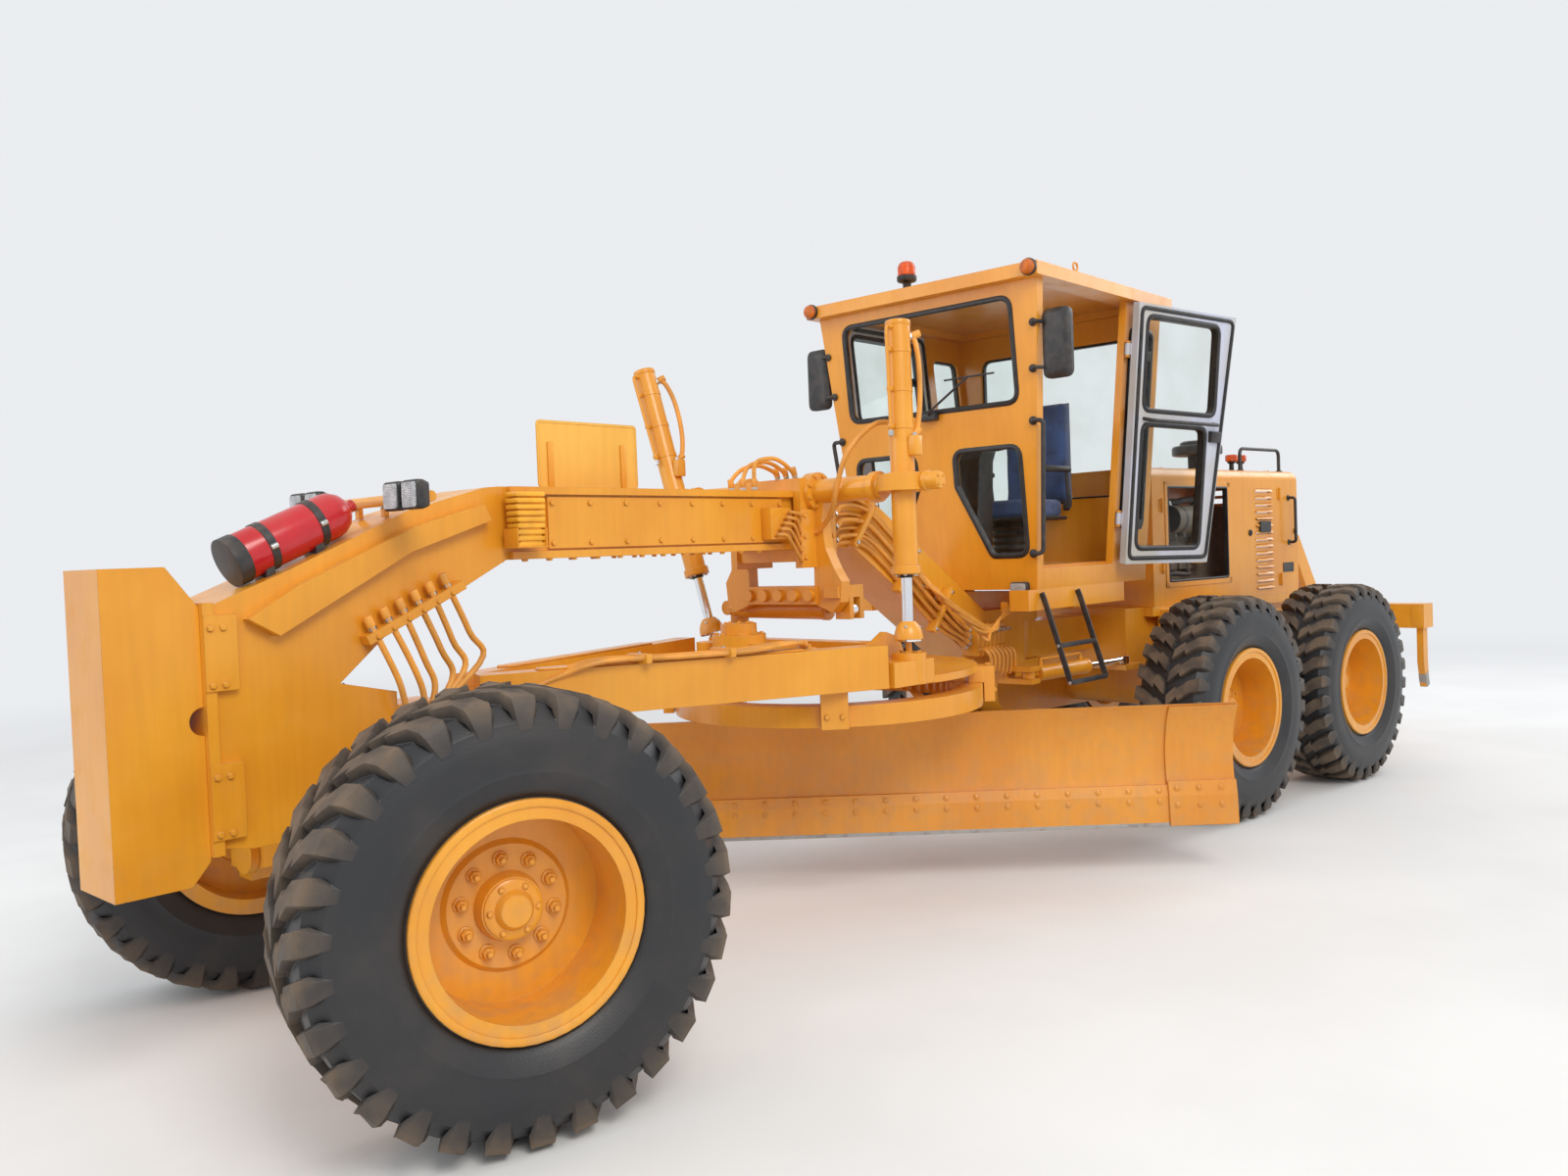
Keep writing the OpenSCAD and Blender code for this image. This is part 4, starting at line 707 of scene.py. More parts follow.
def on_side(outline, inner):
    """An outline on the left side wall, some way inside its outer face."""
    return [Vector((x, side_y(z), z)) - SIDE_OUT * inner for x, z in outline]


def part_mesh(name, build):
    """A small part for repeat(), drawn at the origin along Z and left out of the scene."""
    shape = Shape()
    build(shape)
    bmesh.ops.recalc_face_normals(shape.mesh, faces=list(shape.mesh.faces))
    data = bpy.data.meshes.new(name)
    shape.mesh.to_mesh(data)
    shape.mesh.free()
    data.set_sharp_from_angle(angle=radians(35))
    return bpy.data.objects.new(name, data)


def spread(place, points, axis, ahead):
    """Places in a local frame, for repeat()."""
    turn = place.to_3x3()
    return [(place @ Vector(p), turn @ Vector(axis), turn @ Vector(ahead)) for p in points]


# Pieces


# Finish of each CAD node, by the first of these that its name begins with
FINISHES = (("tyre", "tyre"), ("rim", "rim"), ("cab_trim", "black"), ("hood_trim", "black"), ("cab_lamps", "amber"),
            ("cab_glass", "glass"), ("cab_interior", "black"), ("cab_", "cab"), ("hood", "cab"), ("door", "door"),
            ("engine", "iron"), ("moldboard", "blade"), ("ladder_rails", "black"), ("tie_rod_ball", "steel"),
            ("tie_rod", "frame"), ("extinguisher", "red"))


class GRADER_OT_paint(bpy.types.Operator):
    """Gives every CAD node the finish of the real part"""

    bl_idname = "grader.paint"
    bl_label = "Paint the machine"

    def execute(self, context):
        for node, piece in frame["nodes"].items():
            plain = "chrome" if "rod_" in node or node.endswith("_rod") else "frame"
            name = next((name for start, name in FINISHES if node.startswith(start)), plain)
            piece.data.materials.clear()
            piece.data.materials.append(look(name))
        return {"FINISHED"}


class GRADER_OT_tyres(bpy.types.Operator):
    """Tyres with a two-step chevron tread"""

    bl_idname = "grader.tyres"
    bl_label = "Tyres"

    def execute(self, context):
        for label, place in WHEELS.items():
            node = "tyre_" + label
            make_tyre(node, place, BODY_OF[node], -1 if label.endswith("right") else 1)
        return {"FINISHED"}


def make_tyre(node, place, body, side):
    """One tyre about its own axle along Y, outer side towards side * Y."""
    shape = Shape()
    half = TYRE_W / 2
    base = TYRE_R - sizes().lug_height
    profile = [(0.306, -0.176), (0.357, -0.176), (0.366, -0.188), (0.385, -0.199), (0.412, -half + 0.01),
               (0.43, -half + 0.003), (0.445, -half + 0.006), (0.48, -half + 0.0005), (0.52, -half + 0.004),
               (0.536, -half + 0.006), (0.552, -half + 0.01), (0.575, -half + 0.014), (base - 0.03, -half + 0.035),
               (base - 0.008, -half + 0.062), (base, -0.11), (base + 0.002, 0)]
    profile = profile + [(r, -y) for r, y in reversed(profile[:-1])]
    steps = sizes().lugs * 4
    slot = shape._slot("tyre")
    rows = [[shape.mesh.verts.new((r * cos(a), y, r * sin(a))) for r, y in profile] for a in turns(steps)]
    for a, b in zip(rows, rows[1:] + rows[:1]):
        shape._skin(a, b, slot)
    # Lugs: outline along the tread and across it, from the middle to the shoulder, in two steps
    top, root = TYRE_R - 0.0015, base - 0.006
    pitch = 2 * pi / sizes().lugs
    lead = [(0.012, 0.00), (0.075, 0.42), (0.082, 0.26), (0.15, 0.62), (half - 0.024, 0.72)]
    trail = [(0.012, 0.46), (0.062, 0.8), (0.07, 0.7), (0.14, 1.1), (half - 0.024, 1.26)]

    def at(angle, y, r):
        return Vector((r * cos(angle), y, r * sin(angle)))

    for hand in (-1, 1):
        for i in range(sizes().lugs):
            start = pitch * (i + (0.5 if hand > 0 else 0))
            outline = lead + list(reversed(trail))
            low, high = [], []
            for y, t in outline:
                drop = max(0, (y - 0.15)) * 0.35
                angle = start + pitch * t * side
                high.append(shape.mesh.verts.new(at(angle, hand * y, top - drop)))
                low.append(shape.mesh.verts.new(at(angle + pitch * side * (-0.06 if (y, t) in lead else 0.06),
                                                   hand * y, root - drop)))
            # Shoulder end of the lug, drawn down the sidewall
            for (y, t), edge in ((lead[-1], -1), (trail[-1], 1)):
                for verts, pull, inset, down in ((high, 0.03, 0.011, 0.045), (low, 0.12, 0.01, 0.118)):
                    angle = start + pitch * side * (t - pull * edge)
                    verts.append(shape.mesh.verts.new(at(angle, hand * (half - inset), TYRE_R - down)))
            for verts, soil in ((high, 1), (low, 0.2), (high[-2:], 0.55), (low[-2:], 0.1)):
                for v in verts:
                    v[shape.tread] = soil
            count, n = len(outline), len(lead)
            shape._face(high[:count], slot, False)
            for a in range(count):
                b = (a + 1) % count
                if b != n:
                    shape._face((high[a], high[b], low[b], low[a]), slot, False)
            s0, s1 = count, count + 1
            for corners in ((high[n - 1], high[n], high[s1], high[s0]), (high[s0], high[s1], low[s1], low[s0]),
                            (high[n - 1], high[s0], low[s0], low[n - 1]), (high[s1], high[n], low[n], low[s1])):
                shape._face(corners, slot, False)
    shape.place = place
    shape.done("treaded_" + node, body, (node,), 28)


class GRADER_OT_windows(bpy.types.Operator):
    """Rubber seals round every window, and the doors' glass"""

    bl_idname = "grader.windows"
    bl_label = "Windows"

    def execute(self, context):
        shape = Shape(FRONT)
        for pane in FRONT_PANES:
            path = [Vector((front_x(z), y, z)) for y, z in round_corners(pane, 0.066)]
            shape.band(path, FRONT_OUT, SEAL, "seal")
        path = [Vector((-5.05, y, z)) for y, z in rounded_rect(-0.53, 1.96, 1.06, 0.98)]
        shape.band(path, Vector((-1, 0, 0)), SEAL, "seal")
        for hand in (1, -1):
            path = [Vector((x, hand * side_y(z), z))
                    for x, z in rounded_rect(-4.96, 1.76, 0.29, 1.18, 0.05)]
            shape.band(path, Vector((0, hand * SIDE_OUT.y, SIDE_OUT.z)), SEAL, "seal")
        # Wiper over the windscreen's lower edge, with its motor box
        shape.block((-3.64, -0.06, 2.405), (-3.59, 0.06, 2.45), "black", 0.012)
        shape.bent([(-3.6, 0.02, 2.43), (-3.575, 0.02, 2.445), (-3.573, 0.3, 2.62)], 0.02, 0.007, "black", 8)
        shape.tube([(-3.592, 0.13, 2.62), (-3.57, 0.47, 2.62)], 0.006, "seal", 6)
        shape.done("window_seals", "front_frame")
        for name, place, body in (("left", DOOR_LEFT, "door_left"), ("right", DOOR_RIGHT, "door_right")):
            shape = Shape(place)
            for pane in DOOR_PANES:
                for inner, inward in ((0, 1), (0.045, -1)):
                    path = on_side(round_corners(pane), inner)
                    shape.band(path, SIDE_OUT * inward, SEAL, "seal")
                shape.sheet(on_side(round_corners(pane), 0.02), SIDE_OUT * 0.006, "glass")
            # Weather strip inside the door's rim, latch, grab handle and the hinges' straps
            rim = [(-4.575, 1.575), (front_x(1.575) - 0.09, 1.575), (front_x(3.06) - 0.09, 3.06), (-4.575, 3.06)]
            shape.band(on_side(round_corners(rim, 0.05), 0.045), -SIDE_OUT,
                       [(-0.02, 0), (-0.018, 0.008), (-0.006, 0.012), (0.004, 0.008), (0.006, 0)], "seal")
            for z in (1.78, 2.78):
                y = side_y(z)
                shape.block((-4.56, y + 0.001, z - 0.028), (-4.4, y + 0.009, z + 0.028), "black", 0.003)
                for x in (-4.53, -4.43):
                    shape.hex_bolt((x, y + 0.008, z), (0, 1, -0.09), 0.009, "zinc")
            z = 2.42
            y = side_y(z)
            shape.block((-3.86, y - 0.002, z - 0.03), (-3.74, y + 0.014, z + 0.03), "black", 0.008)
            shape.bent([(-3.845, y + 0.01, z), (-3.845, y + 0.045, z), (-3.755, y + 0.045, z),
                                  (-3.755, y + 0.01, z)], 0.02, 0.008, "black", 8)
            inner = y - 0.045
            shape.bent([(-4.5, inner + 0.01, 2.415), (-4.5, inner - 0.05, 2.41), (-3.82, inner - 0.05, 2.41),
                                  (-3.82, inner + 0.01, 2.415)], 0.04, 0.011, "black", 10)
            shape.block((-3.86, inner - 0.035, 2.3), (-3.76, inner + 0.005, 2.37), "black", 0.01)
            shape.done("door_trim_" + name, body)
        return {"FINISHED"}


class GRADER_OT_cab_trim(bpy.types.Operator):
    """Mirrors, handrails, lamps, beacon and lifting eyes of the cab"""

    bl_idname = "grader.cab_trim"
    bl_label = "Cab trim"

    def execute(self, context):
        shape = Shape(FRONT)
        for hand in (1, -1):
            # Mirror: a hollow rounded shell with its glass looking back
            y = 0.826 * hand
            steps = ((0, -0.004), (0.002, 0), (0.026, 0), (0.04, -0.012), (0.047, -0.035))
            shape.shell(-3.654, (y - 0.085, 2.555, 0.17, 0.37), 0.045, steps, "black")
            shape.panel(0, -3.6545, (y - 0.072, 2.568, 0.144, 0.344), 0.036, -0.001, "mirror")
            for z in (2.62, 2.86):
                wall = Vector((front_x(z) + 0.004, hand * (side_y(z) - 0.02), z))
                shape.bent([wall, wall + Vector((0.035, 0.02 * hand, 0)), (-3.632, y - 0.07 * hand, z)], 0.03,
                           0.0105, "black", 10)
                shape.lathe(eased(0.022, 0.006, 0.013, 0.012), wall, FRONT_OUT, "black", 16)
            # Handrail at the corner post
            low, high = 1.63, 2.345
            ends = []
            for z in (low, high):
                wall = Vector((front_x(z) + 0.004, hand * (side_y(z) - 0.02), z))
                ends.append((wall, Vector((front_x(z) + 0.012, hand * (side_y(z) + 0.045), z))))
                shape.lathe(eased(0.024, 0.005, 0.014, 0.01), wall, FRONT_OUT, "black", 16)
            shape.bent([ends[0][0], ends[0][0] + FRONT_OUT * 0.02, ends[0][1], ends[1][1],
                                  ends[1][0] + FRONT_OUT * 0.02, ends[1][0]], 0.03, 0.0125, "black", 12)
        # Foot of the beacon
        foot = (-4.0, -0.4, ROOF_Z)
        shape.lathe([(0.074, 0), (0.074, 0.006), (0.066, 0.014), (0.034, 0.024), (0.026, 0.04), (0.0255, 0.135),
                     (0.03, 0.142), (0.056, 0.15), (0.061, 0.158), (0.061, 0.182), (0.055, 0.1855)], foot, Z, "black",
                     40)
        shape.done("cab_fittings", "front_frame", ("cab_trim",))
        shape = Shape(FRONT)
        for hand in (1, -1):
            at = (-3.4994, 0.75 * hand, 3.13)
            shape.lathe(eased(0.0455, 0.016, 0.04, 0.018), at, X, "black", 32)
            shape.lathe([(0.041, 0.017), (0.0405, 0.026), (0.036, 0.037), (0.025, 0.045), (0.01, 0.049)], at, (1, 0, 0),
                        "amber", 32)
        lens_at = (-4.0, -0.4, 3.3588)
        ribs = [(0.054 + (0.0012 if i % 2 else 0), 0.004 + i * 0.0042) for i in range(12)]
        shape.lathe([(0.052, 0)] + ribs + [(0.05, 0.064), (0.043, 0.076), (0.03, 0.084), (0.012, 0.0875)], lens_at,
                    (0, 0, 1), "orange", 40)
        shape.done("cab_lenses", "front_frame", ("cab_lamps",))
        # Lifting eyes and a small lamp that stand on the painted shell
        shape = Shape(FRONT)
        for x, y in ((-4.03, 0.73), (-4.03, -0.73)):
            shape.lathe([(0.028, 0), (0.028, 0.006), (0.016, 0.012), (0.012, 0.02)], (x, y, ROOF_Z), Z, "cab", 20)
            ring = [Vector((x + 0.024 * cos(a), y, 3.212 + 0.024 * sin(a))) for a in turns(20)]
            shape.band(ring, Y, [(0.006 * cos(a), 0.006 * sin(a)) for a in turns(8)], "cab")
        # Small square lamp under the door sill and step bracket
        shape.block((-3.78, 0.446, 1.375), (-3.7, 0.555, 1.474), "black", 0.012)
        shape.panel(0, -3.7, (0.454, 1.383, 0.093, 0.083), 0.012, 0.006, "clear")
        shape.done("cab_details", "front_frame")
        return {"FINISHED"}


class GRADER_OT_wheels(bpy.types.Operator):
    """Wheel nuts on their studs, hub caps and valves"""

    bl_idname = "grader.wheels"
    bl_label = "Wheel details"

    def execute(self, context):
        def nut(shape):
            shape.lathe(eased(0.024, 0.004, 0.021, 0.006), (0, 0, 0), Z, "rim", 20)
            shape.hexagon([(0.0185, 0.005), (0.0185, 0.02), (0.016, 0.023)], (0, 0, 0), Z, "rim")
            shape.lathe([(0.0095, 0.02), (0.0095, 0.036), (0.0078, 0.038)], (0, 0, 0), Z, "rim", 14)

        part = part_mesh("wheel_nut", nut)
        count = sizes().wheel_bolts
        for label, place in WHEELS.items():
            out = -1 if label.endswith("right") else 1
            body = BODY_OF["rim_" + label]
            points = [(0.145 * cos(a), -0.0155 * out, 0.145 * sin(a)) for a in turns(count, 0.3)]
            repeat("wheel_nuts_" + label, body, part, spread(place, points, (0, out, 0), (1, 0, 0)), "rim")
            shape = Shape(place)
            shape.lathe([(0.09, 0.0), (0.09, 0.006), (0.084, 0.01), (0.06, 0.013), (0.052, 0.03), (0.046, 0.036),
                         (0.012, 0.039)], (0, 0.03 * out, 0), (0, out, 0), "rim", 40)
            shape.screw_ring(Vector((0, 0.041 * out, 0)), X, Z, 0.074, turns(6), (0, out, 0), 0.009, "rim")
            # Valve through the well, and the lock ring's joint at the flange
            shape.tube([(0.262, -0.012 * out, 0.06), (0.258, 0.035 * out, 0.058), (0.262, 0.062 * out, 0.06)], 0.006,
                       "black", 8)
            shape.lathe(eased(0.009, 0.012, 0.006, 0.016), (0.262, 0.06 * out, 0.06), (0, out, 0), "zinc", 12)
            ring = [Vector((0.3395 * cos(a), 0.1905 * out, 0.3395 * sin(a))) for a in turns(48)]
            shape.band(ring, Vector((0, out, 0)), [(-0.012, -0.004), (-0.012, 0.0035), (-0.008, 0.006), (0.008, 0.006),
                                                   (0.012, 0.0035), (0.012, -0.004)], "rim")
            shape.done("hub_" + label, body)
        return {"FINISHED"}


class GRADER_OT_seat(bpy.types.Operator):
    """Driver's seat with padded cushions, console, levers and steering wheel"""

    bl_idname = "grader.seat"
    bl_label = "Seat and controls"

    def execute(self, context):
        cushion("seat_cushion", (-4.755, -0.245, 1.845), (-4.265, 0.245, 1.955), (0, 0, 1))
        cushion("seat_back", (-4.875, -0.245, 1.9), (-4.765, 0.245, 2.6), (1, 0, 0))
        shape = Shape(FRONT)
        # Pan, post and bellows under the cushions
        shape.block((-4.76, -0.235, 1.825), (-4.28, 0.235, 1.85), "black", 0.012)
        rings = [(0.145 if i % 2 else 0.128, 0.03 + 0.022 * i) for i in range(11)]
        shape.lathe([(0.15, 0), (0.15, 0.02)] + rings + [(0.15, 0.265)], (-4.5, 0, 1.5615), Z, "black", 28)
        shape.block((-4.885, -0.2, 1.93), (-4.873, 0.2, 2.57), "black", 0.005)
        for hand in (1, -1):
            y = 0.278 * hand
            arm = [Vector((x, y, z)) for x, z in ((-4.71, 1.9), (-4.69, 2.02), (-4.68, 2.118))]
            shape.curved(arm, 4, 0.013, "black", 10)
            shape.block((-4.715, y - 0.022, 2.118), (-4.385, y + 0.022, 2.157), "black", 0.016)
            shape.lathe([(0.026, -0.012), (0.026, 0.012)], (-4.69, y - 0.012 * hand, 1.905), Y, "black", 20)
            # Lever bank at the end of each armrest side
            for i in range(4):
                x = -4.06 - 0.012 * i
                top = Vector((x - 0.03, hand * (0.07 + 0.03 * i), 2.36))
                shape.tube([(x, hand * (0.03 + 0.02 * i), 2.22), top], 0.005, "zinc", 8)
                shape.lathe([(0.006, -0.006), (0.013, 0.004), (0.014, 0.016), (0.008, 0.026)], top, Z, "black", 14)
        # Console: a folded housing with a panel of blank gauges
        side = [(-3.885, 1.5615), (-4.075, 1.5615), (-4.115, 2.175), (-4.155, 2.255), (-4.045, 2.295), (-3.965, 2.2)]
        shape.plate(side, upright(-0.108), 0.216, "black", 0.01)
        tilt = Vector((-0.342, 0, 0.94)).normalized()
        for y in (-0.06, 0, 0.06):
            shape.lathe(eased(0.024, 0.004, 0.02, 0.006), (-4.105, y, 2.272), tilt, "zinc", 24)
            shape.lathe([(0.019, 0.0045), (0.017, 0.006)], (-4.105, y, 2.272), tilt, "dark", 24)
        shape.tube([(-4.1, 0, 2.25), (-4.158, 0, 2.356)], 0.023, "black", 16)
        # Steering wheel
        centre, axis = Vector((-4.165, 0, 2.3685)), Vector((-0.01, 0, 0.017)).normalized()
        across, along = axis.cross(Y).normalized(), Y
        ring = [centre + (across * cos(a) + along * sin(a)) * 0.19 for a in turns(48)]
        shape.band(ring, axis, [(0.0135 * cos(a), 0.0135 * sin(a)) for a in turns(10)], "black")
        for a in (0, 2.094, 4.189):
            tip = centre + (across * cos(a) + along * sin(a)) * 0.185
            shape.curved([centre, (centre + tip) / 2 - axis * 0.006, tip], 4, 0.009, "black", 10)
        shape.lathe([(0.04, -0.01), (0.04, 0.004), (0.034, 0.012), (0.012, 0.0145)], centre, axis, "black", 28)
        turn = centre + (across * 0.6 + along * 0.8) * 0.19
        shape.lathe([(0.009, 0.008), (0.012, 0.018), (0.019, 0.03), (0.016, 0.044), (0.006, 0.05)], turn - axis * 0.01,
                    axis, "black", 18)
        shape.done("cab_controls", "front_frame", ("cab_interior",))
        return {"FINISHED"}


def cushion(name, low, high, face):
    """A sewn pad: a swollen block with piped edges and channels across its face."""
    low, high = Vector(low), Vector(high)
    size, centre = high - low, (low + high) / 2
    mesh = bmesh.new()
    bmesh.ops.create_cube(mesh, size=1)
    for v in mesh.verts:
        v.co = Vector(c + s * k * 0.93 for c, s, k in zip(centre, size, v.co))
    bmesh.ops.bevel(mesh, geom=list(mesh.edges), offset=min(size) * 0.28, segments=3, affect="EDGES", profile=0.6)
    bmesh.ops.subdivide_edges(mesh, edges=list(mesh.edges), cuts=1, use_grid_fill=True)
    data = bpy.data.meshes.new(name)
    mesh.to_mesh(data)
    mesh.free()
    pad = stand(name, data)
    remesh = pad.modifiers.new("even", "REMESH")
    remesh.mode, remesh.voxel_size = "VOXEL", 0.012
    settle(pad)
    before = [v.co.copy() for v in pad.data.vertices]
    cloth = pad.modifiers.new("cloth", "CLOTH")
    cloth.settings.use_pressure = True
    cloth.settings.uniform_pressure_force = 4
    cloth.settings.effector_weights.gravity = 0
    cloth.settings.quality = 5
    for step in range(1, 15):
        bpy.context.scene.frame_set(step)
    settle(pad)
    bpy.context.scene.frame_set(1)
    for v, old in zip(pad.data.vertices, before):
        move = v.co - old
        if move.length > SWELL:
            v.co = old + move.normalized() * SWELL
    # Sewn channels across the face, a welt round its edge, and the box of the CAD solid as the limit
    face = Vector(face)
    across = 1
    along = 0 if face.z > 0.5 else 2
    for v in pad.data.vertices:
        share = (v.co[along] - low[along]) / size[along]
        out = (v.co - centre).dot(face) / (size.dot(face) / 2)
        if out > 0.3:
            edge = abs(v.co[across] - centre[across]) / (size[across] / 2)
            groove = max(exp(-((share - seam) / 0.012) ** 2) for seam in (0.27, 0.5, 0.73))
            welt = exp(-((edge - 0.62) / 0.03) ** 2)
            fade = min(1, (out - 0.3) * 2)
            v.co -= face * (0.012 * groove * (1 if edge < 0.62 else 0.2) + 0.009 * welt) * fade
        for k in range(3):
            v.co[k] = min(high[k], max(low[k], v.co[k]))
    pad.modifiers.new("soft", "SUBSURF").levels = 1
    settle(pad)
    pad.data.transform(FRONT)
    pad.data.materials.append(look("cloth"))
    pad.data.shade_smooth()
    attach(pad, "front_frame")
    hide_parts("cab_interior")


def settle(piece):
    """Applies a piece's modifiers."""
    graph = bpy.context.evaluated_depsgraph_get()
    graph.update()
    mesh = bpy.data.meshes.new_from_object(piece.evaluated_get(graph))
    piece.modifiers.clear()
    old, piece.data = piece.data, mesh
    bpy.data.meshes.remove(old)


class GRADER_OT_beam(bpy.types.Operator):
    """Extinguisher, work lamps, chock, sign plate and cover bolts on the front beam"""

    bl_idname = "grader.beam"
    bl_label = "Front beam details"

    def execute(self, context):
        shape = Shape(FRONT)
        foot, head = Vector((0.435, 0.06, 1.72)), Vector((0.0, 0.06, 1.905))
        axis = (head - foot).normalized()
        length = (head - foot).length
        body = [(0.04, 0.006), (0.066, 0.008), (0.078, 0.02), (0.0815, 0.036), (0.0815, length - 0.085),
                (0.077, length - 0.06), (0.062, length - 0.034), (0.04, length - 0.016), (0.026, length - 0.008),
                (0.022, length)]
        shape.lathe(body, foot, axis, "red", 48)
        shape.lathe([(0.07, 0.0), (0.0845, 0.002), (0.0845, 0.046), (0.082, 0.05)], foot, axis, "black", 48)
        for at in (0.12, 0.31):
            shape.lathe([(0.083, at), (0.0849, at + 0.001), (0.0849, at + 0.027), (0.083, at + 0.028)], foot, axis,
                        "black", 48)
            clamp = foot + axis * (at + 0.014) + Vector((0, 0.082, 0))
            shape.lathe([(0.01, -0.012), (0.01, 0.012)], clamp, axis, "zinc", 12)
            # Cradle feet that carry it on the hose cover
            shape.block(clamp - Vector((0.016, 0.135, 0.12)), clamp - Vector((-0.016, 0.03, 0.06)), "black", 0.004)
        neck = head + axis * 0.004
        shape.lathe([(0.022, -0.012), (0.022, 0.012), (0.017, 0.016)], neck, axis, "red_plastic", 20)
        shape.done("extinguisher_set", "front_frame", ("extinguisher",))
        # Work lamps on their bar, sign plate and chock holder
        shape = Shape(FRONT)
        shape.bent([(-0.11, -0.415, 1.925), (-0.11, -0.2, 1.925), (-0.11, 0.2, 1.925), (-0.11, 0.415, 1.925)], 0.01,
                   0.0195, "frame", 16)
        for hand in (1, -1):
            shape.block((-0.13, hand * 0.09 - 0.015, 1.868), (-0.112, hand * 0.09 + 0.015, 1.94), "frame", 0.003)
            shape.hex_bolt((-0.112, hand * 0.09, 1.905), (1, 0, 0), 0.008, "zinc")
            for y in (0.28, 0.4):
                y *= hand
                steps = ((0, -0.022), (0.006, -0.008), (0.03, 0.0), (0.05, 0.0), (0.056, -0.003))
                shape.shell(-0.092, (y - 0.05, 1.88, 0.1, 0.1), 0.014, steps, "black")
                shape.panel(0, -0.0355, (y - 0.042, 1.888, 0.084, 0.084), 0.01, 0.004, "clear")
                shape.block((-0.085, y - 0.054, 1.905), (-0.05, y - 0.0505, 1.955), "frame", 0.001)
        # Sign: a pressed plate with turned edges on two posts, left blank
        shape.panel(1, -0.0275, (-1.42, 1.99, 0.54, 0.28), 0.022, 0.002, "sign")
        rim = [Vector((x, -0.027, z)) for x, z in rounded_rect(-1.413, 1.997, 0.526, 0.266, 0.016)]
        shape.band(rim, Y, [(-0.004, -0.003), (-0.004, 0.003), (0.004, 0.003), (0.004, -0.003)], "sign")
        for x in (-1.335, -0.945):
            shape.block((x - 0.014, -0.0235, 1.9803), (x + 0.014, -0.0185, 2.18), "frame", 0.002)
            shape.block((x - 0.014, -0.0235, 1.9803), (x + 0.014, -0.001, 1.986), "frame", 0.002)
            for z in (2.04, 2.15):
                shape.hex_bolt((x, -0.0255, z), (0, 1, 0), 0.007, "zinc")
        # Ribbed wheel chock in its holder
        x0, x1, y0, y1, z0, z1 = -0.7, -0.56, 0.1755, 0.268, 1.742, 1.958
        for i in range(9):
            z = z0 + (z1 - z0) * (i + 0.5) / 9
            deep = 0.01 * (8 - i) / 9
            shape.block((x0 + 0.004, y0 + 0.01, z - 0.009), (x1 - 0.004 - deep, y1 - 0.004 - deep, z + 0.009), "chock",
                        0.004)
        shape.block((x0 + 0.014, y0 + 0.006, z0 + 0.004), (x1 - 0.022, y1 - 0.018, z1 - 0.004), "chock", 0.006)
        for x in (x0 + 0.001, x1 - 0.007):
            shape.block((x, y0, z0), (x + 0.006, y1 - 0.004, z0 + 0.075), "frame", 0.002)
        shape.block((x0, y0, z0), (x1, y1, z0 + 0.005), "frame", 0.002)
        shape.done("beam_equipment", "front_frame", ("beam_fittings",))
        bolts = []
        for hand in (1, -1):
            ahead, way = (1, 0, 0), (0, hand, 0)
            points = [(x, 0.1638 * hand, z) for x in [-0.8 - 0.19 * i for i in range(8)] for z in (1.76, 1.918)]
            points += [(x, 0.1748 * hand, z) for z in (0.87, 1.05, 1.34, 1.52) for x in (0.505, 0.545)]
            bolts += spread(FRONT, points, way, ahead)
            bolts += spread(FRONT, [(-0.66 - 0.12 * i, hand * 0.163, 1.7) for i in range(12)], (0, 0, -1), ahead)
            points = [(LIFT_X + dx, hand * 0.237, z) for dx in (-0.105, 0.105) for z in (1.66, 1.76, 1.86)]
            points += [(LIFT_X + 0.078 * cos(a), hand * 0.2498, 1.975 + 0.078 * sin(a)) for a in turns(8, 0.5)]
            bolts += spread(FRONT, points, way, ahead)
        part = part_mesh("beam_bolt", lambda shape: shape.hex_bolt((0, 0, 0), Z, 0.011, "frame"))
        repeat("beam_bolts", "front_frame", part, bolts, "frame")
        shape = Shape(FRONT)
        # Hose box with its fittings, and short lines into the saddle
        shape.block((-2.148, 0.1645, 1.748), (-2.002, 0.228, 1.898), "frame", 0.006)
        rng = random.Random(7)
        for i in range(5):
            z = 1.77 + 0.026 * i
            shape.hexagon(eased(0.011, 0.014, 0.008, 0.016), (-2.03 - 0.022 * i, 0.226, z), Y, "frame")
            start = Vector((-2.03 - 0.022 * i, 0.236, z))
            end = Vector((-2.222 + rng.uniform(-0.004, 0.004), 0.226, 1.66 + 0.045 * i))
            route = [start, start + Vector((0, 0.02, 0)), start + Vector((-0.04, 0.035, -0.012)),
                     end + Vector((0.045, 0.022, -0.01)), end + Vector((0.02, 0.008, 0)), end]
            shape.curved(route, 5, 0.009, "hose", 10)
        shape.done("beam_lines", "front_frame", ("hydraulic_lines",))
        return {"FINISHED"}


def hose_run(shape, points, radius, name="hose", fitting=True):
    """A hose along a curve with a crimped ferrule and hexagon at each end."""
    path = smooth_path(points, 6)
    shape.tube(path, radius, name, 10)
    if fitting:
        for a, b in ((path[0], path[1]), (path[-1], path[-2])):
            axis = (b - a).normalized()
            shape.lathe([(radius * 1.15, 0.012), (radius * 1.42, 0.016), (radius * 1.42, 0.05), (radius * 1.2, 0.054)],
                        a, axis, name, 16)
            shape.hexagon([(radius * 1.5, 0), (radius * 1.5, 0.013)], a, axis, "zinc")


